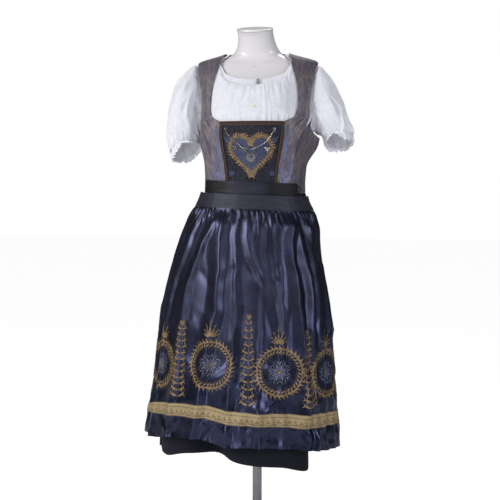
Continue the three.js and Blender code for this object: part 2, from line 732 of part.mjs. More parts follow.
// A sleeve starts at the armhole of the blouse, comes out under the edge of the bodice and puffs.
function sleeve(table, flip) {
  const cols = 16,
    rows = table.length + 1;
  const face = (side) => (u, v) => {
    const k = Math.round(v * rows),
      phi = u * 2 * Math.PI,
      c = Math.cos(phi),
      s = Math.sin(phi);
    const lift = BLOUSE_LOW + side * FINE;
    if (k === 0) {
      const e = along(BLOUSE_ARMHOLE[s > 0 ? 1 : 0], (1 + c) / 2);
      const inward = (s > 0 ? -1 : 1) * 2 * DEG * Math.min(1, Math.abs(s) * 3);
      const drop = c < -0.6 ? 3 : c > 0.9 ? -1.2 : 0;
      return onBody(flip * (e.angle + inward), e.z + drop, lift);
    }
    if (k === 1) {
      const angle = 90 + 15.5 * power(s, 0.75);
      return onBody(flip * angle * DEG, 1277 + (c > 0 ? 98 : 96) * c, lift + 1.4 + (c < -0.8 ? 3 : 0));
    }
    const r = table[k - 2],
      ux = r.ox - r.ix,
      uz = r.oz - r.iz,
      len = Math.hypot(ux, uz);
    const half = len / 2 - (1 - side) * FINE,
      depth = r.d - (1 - side) * FINE;
    const gather = 1 + 0.03 * Math.cos(8 * phi) * (k > 2 ? 1 : 0);
    return new THREE.Vector3(
      flip * ((r.ox + r.ix) / 2 + (ux / len) * half * c * gather),
      6 + depth * s * gather,
      (r.oz + r.iz) / 2 + (uz / len) * half * c * gather - r.lift * s,
    );
  };
  return wall({ nu: cols, nv: rows, wrap: true, outer: face(1), inner: face(0) });
}
add("blouse_sleeve_left", sleeve(SLEEVE_LEFT, -1), WHITE);
add("blouse_sleeve_right", sleeve(SLEEVE_RIGHT, 1), WHITE);
// Cuff: a narrow frill past the gathered end of each sleeve.
function cuff(row, flip) {
  const face = (inset) => (u, v) => {
    const phi = u * 2 * Math.PI,
      c = Math.cos(phi),
      s = Math.sin(phi);
    const ux = row.ox - row.ix,
      uz = row.oz - row.iz,
      len = Math.hypot(ux, uz);
    const gather = 1 + 0.03 * Math.cos(8 * phi);
    const grow = (1 + v * 0.03) * gather;
    const half = (len / 2 - inset) * grow,
      depth = (row.d - inset) * grow;
    const down = new THREE.Vector3(uz / len, 0, -ux / len);
    const p = new THREE.Vector3(
      (row.ox + row.ix) / 2 + (ux / len) * half * c,
      6 + depth * s,
      (row.oz + row.iz) / 2 + (uz / len) * half * c - row.lift * s,
    ).addScaledVector(down, 0.5 + v * 10);
    p.x *= flip;
    return p;
  };
  return wall({ nu: 16, nv: 1, wrap: true, outer: face(0), inner: face(FINE) });
}
add("blouse_cuff_left", cuff(SLEEVE_LEFT[6], -1), WHITE);
add("blouse_cuff_right", cuff(SLEEVE_RIGHT[6], 1), WHITE);

// ---------- bodice ----------
for (const [side, flip] of [
  ["left", -1],
  ["right", 1],
]) {
  add(
    "bodice_front_" + side,
    panel({ inner: FRONT_INNER, outer: FRONT_OUTER, back: false, nu: 4, nv: 17, low: 0, thick: CLOTH, flip, top: 0.004 }),
    BROCADE,
  );
  add(
    "bodice_back_" + side,
    panel({ inner: BACK_INNER, outer: BACK_OUTER, back: true, nu: 4, nv: 11, low: 0, thick: CLOTH, flip, top: 0.004 }),
    BROCADE,
  );
  // Side panels: between the front and the back princess seams, split at the side seam, with the underarm curve as top edge.
  const seamF = placeAll(FRONT_OUTER.slice(0, 10), false),
    seamB = placeAll(BACK_OUTER.slice(0, 6), true);
  const angleAt = (seam, z) => column(seam, "z", "angle", z);
  const UNDERARM = 1168,
    SIDE_SEAM = 0.42;
  const topZ = (u) => mix(mix(1220, 1212, u), UNDERARM, Math.pow(Math.sin(Math.PI * u), 0.7));
  const stand = side === "right" ? 24 : 6;
  const flare = (angle, z) => stand * bump(angle / DEG - 92, 20) * smooth((z - 1060) / 110);
  for (const [part, from, to] of [
    ["front", 0, SIDE_SEAM],
    ["back", SIDE_SEAM, 1],
  ])
    add(
      "bodice_side_" + part + "_" + side,
      bodyWall({
        nu: 5,
        nv: 6,
        low: 0,
        thick: CLOTH,
        flip,
        more: flare,
        at: (u, v) => {
          const w = mix(from, to, u),
            z = mix(1004, topZ(w), v);
          const a = angleAt(seamF, z) + 0.35 * DEG,
            b = angleAt(seamB, z) - 0.35 * DEG;
          const open = (part === "front" ? -u : 1 - u) * 0.18 * DEG;
          return { angle: mix(a, b, w) + open, z };
        },
      }),
      BROCADE,
    );
}
// Stomacher: the inset front with its ribbon border.
const stomacherEdge = placeAll(STOMACHER_EDGE, false);
const stomacherAt = (u, v, edge = 1) => {
  const e = along(stomacherEdge, v);
  return { angle: mix(-e.angle, e.angle, u) * edge, z: e.z };
};
add(
  "stomacher_panel",
  bodyWall({ nu: 8, nv: 6, low: 0, thick: CLOTH, at: (u, v) => stomacherAt(u, v, 0.982) }),
  DARK,
);
const RIBBON = 7,
  RIBBON_LIFT = 2.6;
for (const [side, sign] of [
  ["left", -1],
  ["right", 1],
])
  add(
    "stomacher_ribbon_" + side,
    bodyWall({
      nu: 1,
      nv: 8,
      low: RIBBON_LIFT,
      thick: FINE,
      at: (u, v) => {
        const e = along(stomacherEdge, v * 0.955 + 0.0);
        const wide = RIBBON / 160;
        return { angle: sign * (e.angle + 0.006 - wide + u * wide), z: e.z };
      },
    }),
    BROWN,
  );
add(
  "stomacher_ribbon_top",
  bodyWall({
    nu: 12,
    nv: 1,
    low: RIBBON_LIFT,
    thick: FINE,
    at: (u, v) => {
      const e = stomacherEdge[5];
      return { angle: mix(-e.angle - 0.006, e.angle + 0.006, u), z: 1202.2 + v * 7 };
    },
  }),
  BROWN,
);

// ---------- silver lacing on the stomacher ----------
const frontAngle = (x, z) => {
  const dx = x - column(CENTRE, "z", "x", z);
  return Math.sign(dx) * place({ x: Math.abs(dx), z }, false).angle;
};
const onFront = (x, z, lift) => onBody(frontAngle(x, z), z, lift);
const CHAIN = [
  { x: -74, z: 1180 },
  { x: -60, z: 1164 },
  { x: -45, z: 1150 },
  { x: -26, z: 1137 },
  { x: -5, z: 1131 },
  { x: 15, z: 1137 },
  { x: 35, z: 1148 },
  { x: 49, z: 1162 },
  { x: 61, z: 1180 },
];
const chainCurve = new THREE.CatmullRomCurve3(CHAIN.map((c) => onFront(c.x, c.z, 7.2)));
const circle = (r, n) => {
  const s = new THREE.Shape();
  for (let i = 0; i < n; i++) {
    const a = (i / n) * 2 * Math.PI;
    if (i) s.lineTo(r * Math.cos(a), r * Math.sin(a));
    else s.moveTo(r * Math.cos(a), r * Math.sin(a));
  }
  s.closePath();
  return s;
};
add(
  "lacing_chain",
  new THREE.ExtrudeGeometry(circle(1.3, 5), { steps: 18, bevelEnabled: false, extrudePath: chainCurve }),
  SILVER,
);
const heart = new THREE.Shape();
heart.moveTo(0, -9);
heart.bezierCurveTo(-4, -5, -8.5, -1, -7.5, 3.5);
heart.bezierCurveTo(-6.5, 7.2, -1.5, 7.2, 0, 3.4);
heart.bezierCurveTo(1.5, 7.2, 6.5, 7.2, 7.5, 3.5);
heart.bezierCurveTo(8.5, -1, 4, -5, 0, -9);
function charm(name, shape, depth, x, z, lift, n) {
  const g = new THREE.ExtrudeGeometry(shape, { depth, bevelEnabled: false, curveSegments: n });
  const p = onFront(x, z, lift);
  const out = ringNormal(BODY, frontAngle(x, z), z);
  add(name, g, SILVER, (m) => {
    m.quaternion.setFromUnitVectors(new THREE.Vector3(0, 0, 1), out);
    const turn = new THREE.Quaternion().setFromAxisAngle(out, charmRoll(m.quaternion, out));
    m.quaternion.premultiply(turn);
    m.position.copy(p);
  });
}
// The turn about the outward normal that brings a shape's own up back to the vertical.
function charmRoll(q, out) {
  const up = new THREE.Vector3(0, 1, 0).applyQuaternion(q);
  const want = new THREE.Vector3(0, 0, 1).projectOnPlane(out).normalize();
  return Math.atan2(up.clone().cross(want).dot(out), up.dot(want));
}
charm("lacing_heart_left", heart, 2.2, -48, 1132, 2.6, 4);
charm("lacing_heart_right", heart, 2.2, 43, 1129, 2.6, 4);
charm("lacing_hook_left", circle(3.4, 10), 2.6, -76, 1187, 2.6, 4);
charm("lacing_hook_right", circle(3.4, 10), 2.6, 63, 1187, 2.6, 4);
charm("lacing_pendant", circle(6, 10), 2.2, -4, 1112, 2.6, 4);

// Fastenings of the blouse.
const stud = (name, r, h, x, z, lift, material) =>
  add(name, lathe([[0, 0], [r, 0], [r, h * 0.6], [r * 0.7, h], [0, h]], 14), material, (m) => {
    const p = onFront(x, z, lift + fullness(frontAngle(x, z), z));
    m.quaternion.setFromUnitVectors(new THREE.Vector3(0, 0, 1), ringNormal(BODY, 0, z));
    m.position.copy(p);
  });
stud("blouse_clasp", 6, 2.6, 13, 1323, BLOUSE_LOW + 5.8, SILVER);
stud("blouse_button", 4.6, 2.4, 6, 1250, BLOUSE_LOW + 2.2, WHITE);

// ---------- skirt ----------
for (const [name, from, to, nu] of [
  ["skirt_front", -78, 78, 22],
  ["skirt_back_right", 78, 180, 18],
  ["skirt_back_left", 180, 282, 18],
]) {
  const face = (lift) => (u, v) => {
    const deg = mix(from + 0.25, to - 0.25, u);
    const hem = column(SKIRT_LEVELS, "deg", "hem", deg);
    return skirtAt(deg * DEG, mix(WAIST_Z - 0.6, hem, Math.pow(v, 0.8)), lift);
  };
  add(name, wall({ nu, nv: 5, outer: face(CLOTH), inner: face(0) }), PLAIN_NAVY);
}

// ---------- apron ----------
const APRON_EDGE = 98,
  APRON_COLS = 46;
const apronFace = (rows, lift) => (u, v) => {
  const angle = mix(-APRON_EDGE, APRON_EDGE, u) * DEG;
  return apronAt(angle, apronZ(angle, rows[Math.round(v * (rows.length - 1))]), lift);
};
add(
  "apron_panel",
  wall({ nu: APRON_COLS, nv: APRON_ROWS.length - 1, outer: apronFace(APRON_ROWS, CLOTH), inner: apronFace(APRON_ROWS, 0) }),
  NAVY,
);
add(
  "apron_trim",
  wall({ nu: APRON_COLS, nv: 1, outer: apronFace([1, 2], CLOTH + 1.7), inner: apronFace([1, 2], CLOTH + 0.6) }),
  GOLD,
);
const flatBand = (z0, z1, lift, a0, a1) => (u, v) => {
  const z = mix(z0, z1, v),
    angle = mix(a0, a1, u) * DEG;
  const p = ring(APRON, angle, z).addScaledVector(ringNormal(APRON, angle, z).setZ(0).normalize(), lift);
  p.z -= ROLL * p.x;
  return p;
};
const ribbon = (name, z0, z1, low, thick, a0, a1, nu, nv, material) =>
  add(name, wall({ nu, nv, outer: flatBand(z0, z1, low + thick, a0, a1), inner: flatBand(z0, z1, low, a0, a1) }), material);
ribbon("apron_waistband", 999, APRON_TOP, 0.6, CLOTH, -APRON_EDGE, APRON_EDGE, 32, 2, NAVY);
ribbon("apron_tie_right", 994, 974, 1, FINE, APRON_EDGE + 0.3, 184, 12, 1, NAVY);
ribbon("apron_tie_left", 994, 974, 3.4, FINE, 176, 360 - APRON_EDGE - 0.3, 12, 1, NAVY);
// Satin belt ribbon on the front of the bodice, above the waistband.
const beltFace = (lift) => (u, v) => {
  const p = onBody(mix(-64, 58, u) * DEG, mix(1036, 999.6, v), lift);
  p.z -= ROLL * p.x;
  return p;
};
add("apron_belt", wall({ nu: 24, nv: 1, outer: beltFace(7.2), inner: beltFace(6) }), SATIN);

export default object;
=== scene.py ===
"""The looks of a dirndl with apron and blouse on a limbless dress form.

Sizes are in millimetres until a mesh is made. +Z is up, the front faces -Y, angle 0 is the front and 90 degrees is +X.
Every cloth is a thin shell on the ring surface of its CAD wall, with its folds added along the surface normal.
"""

import math

import bpy
import numpy as np
from mathutils import Matrix, Vector


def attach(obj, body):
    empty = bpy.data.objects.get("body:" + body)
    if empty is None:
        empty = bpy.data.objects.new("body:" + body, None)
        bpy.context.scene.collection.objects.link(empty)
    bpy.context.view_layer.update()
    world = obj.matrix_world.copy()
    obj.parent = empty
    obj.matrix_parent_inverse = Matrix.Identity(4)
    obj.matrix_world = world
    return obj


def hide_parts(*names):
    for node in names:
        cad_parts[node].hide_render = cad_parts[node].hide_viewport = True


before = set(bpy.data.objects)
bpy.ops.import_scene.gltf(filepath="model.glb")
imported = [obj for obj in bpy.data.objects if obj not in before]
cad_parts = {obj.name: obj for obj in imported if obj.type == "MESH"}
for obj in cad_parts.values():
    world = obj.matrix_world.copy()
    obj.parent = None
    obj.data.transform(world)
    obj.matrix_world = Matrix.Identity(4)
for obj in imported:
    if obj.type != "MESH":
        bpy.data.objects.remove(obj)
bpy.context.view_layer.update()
MM = 0.001
DEG = math.pi / 180


# ---------- camera ----------
def add_camera(azimuth=7.0, distance=3.0, height=1.053):
    data = bpy.data.cameras.new("camera")
    data.lens, data.sensor_width, data.sensor_fit = 72.0, 36.0, "HORIZONTAL"
    data.clip_end = 60
    cam = bpy.data.objects.new("camera", data)
    bpy.context.scene.collection.objects.link(cam)
    a = azimuth * DEG
    cam.location = (distance * math.sin(a), -distance * math.cos(a), height)
    yaw, pitch = a + math.atan(0.0073), math.atan(0.074)
    look = Vector(
        (-math.sin(yaw) * math.cos(pitch), math.cos(yaw) * math.cos(pitch), -math.sin(pitch))
    )
    cam.rotation_euler = look.to_track_quat("-Z", "Y").to_euler()
    bpy.context.scene.camera = cam


add_camera()


# ---------- tables ----------
def table(names, *rows):
    keys = names.split()
    data = np.array(rows, float)
    data = data[np.argsort(data[:, 0], kind="stable")]
    return {k: data[:, i] for i, k in enumerate(keys)}


FORM = table(
    "z a f b n",
    (800, 128, 80, 92, 2.2), (812, 144, 90, 104, 2.2), (840, 152, 95, 110, 2.2), (880, 153, 95, 108, 2.2),
    (930, 145, 91, 98, 2.15), (990, 134, 88, 88, 2.1), (1040, 132, 90, 84, 2.1), (1090, 137, 98, 86, 2.15),
    (1140, 145, 111, 91, 2.25), (1185, 150, 119, 95, 2.3), (1225, 151, 113, 98, 2.25), (1270, 151, 99, 99, 2.2),
    (1310, 152, 84, 96, 2.15), (1345, 154, 72, 90, 2.1), (1370, 153, 64, 82, 2.05), (1383, 147, 60, 72, 2),
    (1389, 134, 57, 67, 2), (1395.5, 117, 55, 63, 2), (1401, 101, 54, 60, 2), (1406, 87, 53, 57, 2),
    (1411, 77, 52, 55, 2), (1417, 70, 51, 53, 2), (1425, 64, 50, 51, 2), (1436, 58, 49, 50, 2),
    (1452, 53.8, 48.5, 49, 2), (1464, 52, 48.5, 49, 2),
)
BODY = table(
    "z a f b n",
    (950, 160, 110, 112, 2.1), (990, 151, 103, 102, 2.1), (1040, 149, 103, 98, 2.1), (1090, 152, 110, 99, 2.15),
    (1140, 159, 123, 103, 2.25), (1185, 165, 131, 107, 2.3), (1225, 167, 126, 110, 2.25), (1270, 169, 112, 111, 2.2),
    (1310, 173, 97, 108, 2.15), (1345, 179, 85, 102, 2.1), (1370, 182, 76, 94, 2.05), (1382, 181, 71, 88, 2),
    (1389.5, 175, 67, 80, 2), (1395, 161, 65, 75, 2), (1400.5, 141, 63, 72, 2), (1405, 123, 62, 69, 2),
    (1410, 106, 61, 66, 2), (1414.5, 94, 60, 64, 2), (1419, 85, 59, 62, 2), (1428, 76, 58, 60, 2),
)
CENTRE = table(
    "z x y",
    (1020, -7, 0), (1160, -3, 0), (1300, 0, 0), (1345, 0, 4), (1375, 0, 10), (1395, 0, 13),
    (1409, 0, 11), (1422, 0, 4), (1440, 0, -8), (1456, -1, -18), (1480, -2, -32),
)
SKIRT = table(
    "z l r f b n",
    (1003, 158, 143, 103, 101, 2.1), (982, 164, 145, 108, 108, 2.1), (955, 173, 153, 114, 118, 2.05),
    (915, 190, 161, 124, 134, 2), (850, 211, 168, 134, 152, 2), (700, 246, 186, 152, 184, 2),
    (500, 272, 202, 168, 214, 2), (380, 284, 208, 178, 228, 2), (215, 294, 214, 190, 242, 2),
)
APRON = table(
    "z l r f b n",
    (1003, 167, 150, 112, 108, 2.1), (985, 173, 154, 117, 114, 2.1), (958, 185, 167, 127, 126, 2.05),
    (912, 211, 181, 144, 146, 2), (850, 236, 188, 158, 164, 2), (775, 253, 197, 170, 180, 2),
    (700, 270, 210, 180, 195, 2), (610, 286, 220, 190, 208, 2), (489, 300, 229, 201, 226, 2),
    (381, 315, 236, 210, 240, 2), (248, 341, 246, 218, 254, 2),
)
LEVELS = table(
    "deg trim low hem",
    (-100, 360, 335, 277), (-85, 363, 336, 276), (-65, 381, 346, 276), (-45, 393, 354, 291), (-25, 399, 360, 299),
    (-10, 387, 348, 282), (0, 385, 346, 284), (22, 382, 343, 281), (38, 375, 333, 272), (55, 368, 326, 259),
    (80, 359, 320, 250), (100, 354, 316, 248),
)
SKIRT_LEVELS = table(
    "deg hem",
    (-90, 225), (-64, 219), (-40, 240), (-18, 241), (-10, 232), (0, 226), (24, 219), (50, 197), (68, 228),
    (90, 236), (180, 232), (270, 225),
)
# Panel edges: x and z on the ring surface, or x and y (z None) near the shoulder ridge.
STOMACHER_EDGE = [(73, 1004), (74, 1045), (78, 1085), (84, 1125), (90, 1165), (91, 1207)]
FRONT_INNER = STOMACHER_EDGE[:5] + [
    (91, 1200), (96, 1211), (108, 1216), (118, 1223), (125, 1236), (129, 1256), (126, 1302), (120, 1332),
    (112, 1360), (105, 1383), (99, None, 44), (95, None, 22), (92, None, 0),
]
FRONT_OUTER = [
    (112, 1004), (114, 1045), (119, 1085), (126, 1120), (135, 1150), (142, 1172), (148, 1189), (153, 1202),
    (157, 1213), (160, 1227), (159, 1255), (163, 1300), (167, 1325), (171, 1348), (174, 1366), (176.5, 1378),
    (177.5, 1384), (178, None, 0),
]
BACK_INNER = [
    (0, 1004), (0, 1070), (0, 1140), (0, 1210), (0, 1280), (32, 1284), (64, 1299), (85, 1328), (94, 1368),
    (96, None, 50), (94, None, 25), (92, None, 0),
]
BACK_OUTER = [
    (96, 1004), (101, 1050), (109, 1095), (120, 1140), (134, 1180), (148, 1216), (154, 1240), (159, 1280),
    (168, 1334), (174, 1364), (177.3, 1382), (178, None, 0),
]
BLOUSE_INNER = [
    (0, 1120), (0, 1170), (0, 1220), (0, 1270), (0, 1314), (36, 1316), (68, 1325), (92, 1341), (101, 1362),
    (97, None, 44), (91, None, 22), (88, None, 0),
]
BLOUSE_OUTER = [
    (156, 1120), (160, 1140), (162.5, 1160), (163, 1176), (152, 1190), (146, 1210), (143, 1240), (145, 1275),
    (149, 1310), (156, 1350), (164, None, 24), (165, None, 0),
]
BLOUSE_BACK_INNER = [
    (0, 1120), (0, 1170), (0, 1220), (0, 1260), (0, 1297), (32, 1301), (60, 1315), (79, 1343), (88, 1378),
    (90, None, 50), (88, None, 25), (87, None, 0),
]
SLEEVE_RIGHT = [
    (186, 1375, 174, 1190, 48, 2), (202, 1358, 178, 1185, 61, 5), (224, 1327, 183, 1180, 70, 10),
    (246, 1281, 188, 1176, 74, 16), (265, 1236, 193, 1168, 71, 19), (279, 1196, 197, 1161, 64, 22),
    (285, 1166, 200, 1154, 56, 24),
]
SLEEVE_LEFT = [
    (190, 1382, 172, 1190, 48, 1), (213, 1367, 173, 1185, 61, 3), (238, 1334, 174, 1180, 72, 6),
    (256, 1284, 175, 1174, 78, 10), (267, 1225, 176, 1166, 76, 15), (271, 1166, 177, 1157, 66, 20),
    (264, 1115, 179, 1150, 54, 24),
]
ROLL, WAIST_Z, APRON_TOP, APRON_EDGE, BLOUSE_LOW = 0.037, 1003, 958, 98, -6.2


# ---------- shared functions ----------
def smooth(t):
    t = np.clip(t, 0, 1)
    return t * t * (3 - 2 * t)


def mix(a, b, t):
    return a + (b - a) * t


def power(v, e):
    return np.sign(v) * np.abs(v) ** e


def hermite(X, Y, x):
    """Y at x along a curve that keeps between its rows. Y may have further axes."""
    extra = (1,) * (Y.ndim - 1)
    s = np.diff(Y, axis=0) / np.diff(X).reshape((-1,) + extra)
    m = np.empty_like(Y)
    m[0], m[-1] = s[0], s[-1]
    if len(s) > 1:
        p, q = s[:-1], s[1:]
        total = np.where(p + q == 0, 1, p + q)
        m[1:-1] = np.where(p * q <= 0, 0, 2 * p * q / total)
    x = np.clip(x, X[0], X[-1])
    i = np.clip(np.searchsorted(X, x, side="right") - 1, 0, len(X) - 2)
    h = (X[i + 1] - X[i]).reshape(np.shape(x) + extra)
    t = ((x - X[i]) / (X[i + 1] - X[i])).reshape(np.shape(x) + extra)
    t2, t3 = t * t, t * t * t
    return (
        (2 * t3 - 3 * t2 + 1) * Y[i] + (t3 - 2 * t2 + t) * h * m[i]
        + (3 * t2 - 2 * t3) * Y[i + 1] + (t3 - t2) * h * m[i + 1]
    )


def curve(T, key, x):
    at = next(iter(T))
    return hermite(T[at], T[key], np.asarray(x, float))


def ring(T, angle, z):
    angle, z = np.broadcast_arrays(np.asarray(angle, float), np.asarray(z, float))
    s, c = np.sin(angle), np.cos(angle)
    e = 2 / curve(T, "n", z)
    side = curve(T, "a", z) if "a" in T else np.where(s > 0, curve(T, "r", z), curve(T, "l", z))
    depth = np.where(c > 0, curve(T, "f", z), curve(T, "b", z))
    x, y = side * power(s, e), -depth * power(c, e)
    if "a" in T:
        x, y = x + curve(CENTRE, "x", z), y + curve(CENTRE, "y", z)
    return np.stack([x, y, z], -1)


def unit(v):
    return v / np.maximum(np.linalg.norm(v, axis=-1, keepdims=True), 1e-9)


def ring_normal(T, angle, z, flat=False):
    u = ring(T, angle + 0.01, z) - ring(T, angle - 0.01, z)
    v = ring(T, angle, z + 0.6) - ring(T, angle, z - 0.6)
    n = unit(np.cross(u, v))
    if flat:
        n[..., 2] = 0
        n = unit(n)
    return n


def on_body(angle, z, lift):
    return ring(BODY, angle, z) + ring_normal(BODY, angle, z) * np.asarray(lift)[..., None]


def place(entry, back):
    """An edge entry as (angle, z) on the body."""
    x, z = entry[0], entry[1]
    if z is None:
        lo, hi, y = 1330.0, 1440.0, max(entry[2], 0.5)
        for _ in range(60):
            z = (lo + hi) / 2
            a, n = float(curve(BODY, "a", z)), float(curve(BODY, "n", z))
            rest = 0 if x >= a else 1 - (x / a) ** n
            if float(curve(BODY, "b" if back else "f", z)) * rest ** (1 / n) > y:
                lo = z
            else:
                hi = z
    a, n = float(curve(BODY, "a", z)), float(curve(BODY, "n", z))
    t = math.asin(min(max(min(max(x / a, 0), 1) ** (n / 2), 0), 1))
    return (math.pi - t if back else t), z


def place_all(edge, back):
    return np.array([place(e, back) for e in edge])


def along(points, t, corner=None):
    """A smooth way through the placed points, t from 0 to 1, with a sharp corner at one of them if asked."""
    k = np.clip(t, 0, 1) * (len(points) - 1)
    idx = np.arange(len(points), dtype=float)
    if corner is None:
        return hermite(idx, points, k)
    low = hermite(idx[: corner + 1], points[: corner + 1], np.minimum(k, corner))
    high = hermite(idx[corner:], points[corner:], np.maximum(k, corner))
    return np.where((k <= corner)[..., None], low, high)


def bump(d, w):
    return np.exp(-((d / w) ** 2))


def grid(nu, nv):
    """u across the columns and v down the rows, as two arrays (nv + 1, nu + 1)."""
    return np.meshgrid(np.linspace(0, 1, nu + 1), np.linspace(0, 1, nv + 1))


# ---------- meshes ----------
def new_mesh(name, verts, faces, uv=None, sharp=50, smooth_shade=True):
    """verts in mm. faces are equal-sided index rows. uv is one pair for each vertex, in metres of cut."""
    faces = np.asarray(faces, dtype=np.int32)
    me = bpy.data.meshes.new(name)
    me.vertices.add(len(verts))
    me.vertices.foreach_set("co", (np.asarray(verts, float) * MM).ravel())
    me.loops.add(faces.size)
    me.loops.foreach_set("vertex_index", faces.ravel())
    me.polygons.add(len(faces))
    me.polygons.foreach_set("loop_start", np.arange(0, faces.size, faces.shape[1], dtype=np.int32))
    me.update(calc_edges=True)
    if uv is not None:
        layer = me.uv_layers.new(name="cut")
        layer.data.foreach_set("uv", np.asarray(uv, float)[faces.ravel()].ravel())
    me.validate()
    me.polygons.foreach_set("use_smooth", np.full(len(faces), smooth_shade))
    if sharp:
        me.set_sharp_from_angle(angle=sharp * DEG)
    ob = bpy.data.objects.new(name, me)
    bpy.context.scene.collection.objects.link(ob)
    return ob


def lengths(P):
    """Cut coordinates in metres: u along each row from its middle, v down the mean column."""
    du = np.linalg.norm(np.diff(P, axis=1), axis=2)
    dv = np.linalg.norm(np.diff(P, axis=0), axis=2).mean(1)
    u = np.concatenate([np.zeros((len(P), 1)), np.cumsum(du, 1)], 1)
    u -= u[:, -1:] / 2
    v = np.concatenate([[0], np.cumsum(dv)])
    return np.stack([u, np.broadcast_to(v[:, None], u.shape)], -1) * MM


def grid_normals(P, wrap=False):
    if wrap:
        Q = np.concatenate([P[:, -2:-1], P, P[:, 1:2]], 1)
        du = (Q[:, 2:] - Q[:, :-2])
    else:
        du = np.gradient(P, axis=1)
    dv = np.gradient(P, axis=0)
    return unit(np.cross(du, dv))


def quads_between(a, b):
    """Quads between two index rows of equal length."""
    return np.stack([a[:-1], a[1:], b[1:], b[:-1]], -1).reshape(-1, 4)


def shell(name, P, thick, wrap=False, uv=None, out=None, sharp=50, inner=None):
    """A closed thin wall whose outer face is the grid P (rows, columns, 3). out is a point grid direction that counts as outwards."""
    rows, cols = P.shape[:2]
    N = grid_normals(P, wrap)
    ref = P - P.reshape(-1, 3).mean(0) if out is None else np.broadcast_to(out, P.shape)
    if (N * ref).sum() < 0:
        N = -N
    Q = P - N * thick if inner is None else inner
    if wrap:
        Q[:, -1] = Q[:, 0]
    idx = np.arange(rows * cols).reshape(rows, cols)
    if wrap:
        idx = idx.copy()
    A, B = idx, idx + rows * cols
    face_out = np.stack([A[:-1, :-1], A[1:, :-1], A[1:, 1:], A[:-1, 1:]], -1).reshape(-1, 4)
    face_in = np.stack([B[:-1, :-1], B[:-1, 1:], B[1:, 1:], B[1:, :-1]], -1).reshape(-1, 4)
    rims = [
        np.stack([A[0, :-1], A[0, 1:], B[0, 1:], B[0, :-1]], -1),
        np.stack([A[-1, :-1], B[-1, :-1], B[-1, 1:], A[-1, 1:]], -1),
    ]
    if not wrap:
        rims += [
            np.stack([A[:-1, 0], B[:-1, 0], B[1:, 0], A[1:, 0]], -1),
            np.stack([A[:-1, -1], A[1:, -1], B[1:, -1], B[:-1, -1]], -1),
        ]
    faces = np.concatenate([face_out, face_in] + rims)
    verts = np.concatenate([P.reshape(-1, 3), Q.reshape(-1, 3)])
    # the face order above turns outwards where rows go down and columns go towards +X on the front
    a, b, c, d = (verts[face_out[:, k]] for k in range(4))
    if (np.cross(c - a, d - b) * N[:-1, :-1].reshape(-1, 3)).sum() < 0:
        faces = faces[:, ::-1]
    cut = lengths(P) if uv is None else uv
    cut = np.concatenate([cut.reshape(-1, 2)] * 2)
    if wrap:
        # the last column is the first one again: the mesh is joined there, the cut keeps its own edge
        return joined_tube(name, verts, faces, cut, rows, cols, sharp)
    return new_mesh(name, verts, faces, cut, sharp)


def joined_tube(name, verts, faces, cut, rows, cols, sharp):
    remap = np.arange(len(verts))
    for side in (0, rows * cols):
        first = side + np.arange(rows) * cols
        remap[first + cols - 1] = first
    used = np.unique(remap)
    lookup = np.full(len(verts), -1)
    lookup[used] = np.arange(len(used))
    joined = lookup[remap[faces]]
    me_faces = joined
    ob = new_mesh(name, verts[used], me_faces, None, sharp)
    layer = ob.data.uv_layers.new(name="cut")
    layer.data.foreach_set("uv", cut[faces.ravel()].ravel())
    return ob


def revolve(name, profile, n=96, centre=(0, 0)):
    """A closed turned solid: profile is (radius, z) from the bottom axis point to the top one."""
    pts, faces = [], []
    t = np.arange(n) * 2 * np.pi / n
    rings = []
    for r, z in profile:
        if r == 0:
            rings.append(np.full(n, len(pts)))
            pts.append((centre[0], centre[1], z))
        else:
            rings.append(len(pts) + np.arange(n))
            pts += [(centre[0] + r * math.cos(a), centre[1] + r * math.sin(a), z) for a in t]
    tris = []
    for low, high in zip(rings[:-1], rings[1:]):
        l2, h2 = np.roll(low, -1), np.roll(high, -1)
        for a, b, c, d in zip(low, l2, h2, high):
            if a != b:
                tris.append((a, b, c))
            if c != d:
                tris.append((a, c, d))
    return new_mesh(name, np.array(pts, float), tris, None, 40)


def tube(points, radius, sides=8, closed=False):
    """Verts and quads of a round wire through points (mm)."""
    P = np.asarray(points, float)
    T = np.roll(P, -1, 0) - np.roll(P, 1, 0) if closed else np.gradient(P, axis=0)
    T = unit(T)
    ref = np.array([0, 0, 1.0]) if abs(T[0, 2]) < 0.9 else np.array([1.0, 0, 0])
    N = unit(np.cross(T[0], ref))
    frames = []
    for k in range(len(P)):
        N = unit(N - T[k] * np.dot(N, T[k]))
        frames.append((N, np.cross(T[k], N)))
    r = np.broadcast_to(np.asarray(radius, float), (len(P),))
    ph = np.arange(sides) * 2 * np.pi / sides
    V = np.concatenate([P[k] + r[k] * (np.outer(np.cos(ph), a) + np.outer(np.sin(ph), b)) for k, (a, b) in enumerate(frames)])
    F = []
    count = len(P)
    for k in range(count if closed else count - 1):
        k2 = (k + 1) % count
        for i in range(sides):
            j = (i + 1) % sides
            F.append((k * sides + i, k * sides + j, k2 * sides + j, k2 * sides + i))
    if not closed:
        V = np.concatenate([V, P[:1], P[-1:]])
        a, b = len(V) - 2, len(V) - 1
        for i in range(sides):
            j = (i + 1) % sides
            F.append((a, j, i, i))
            F.append((b, (count - 1) * sides + i, (count - 1) * sides + j, (count - 1) * sides + j))
    return V, F


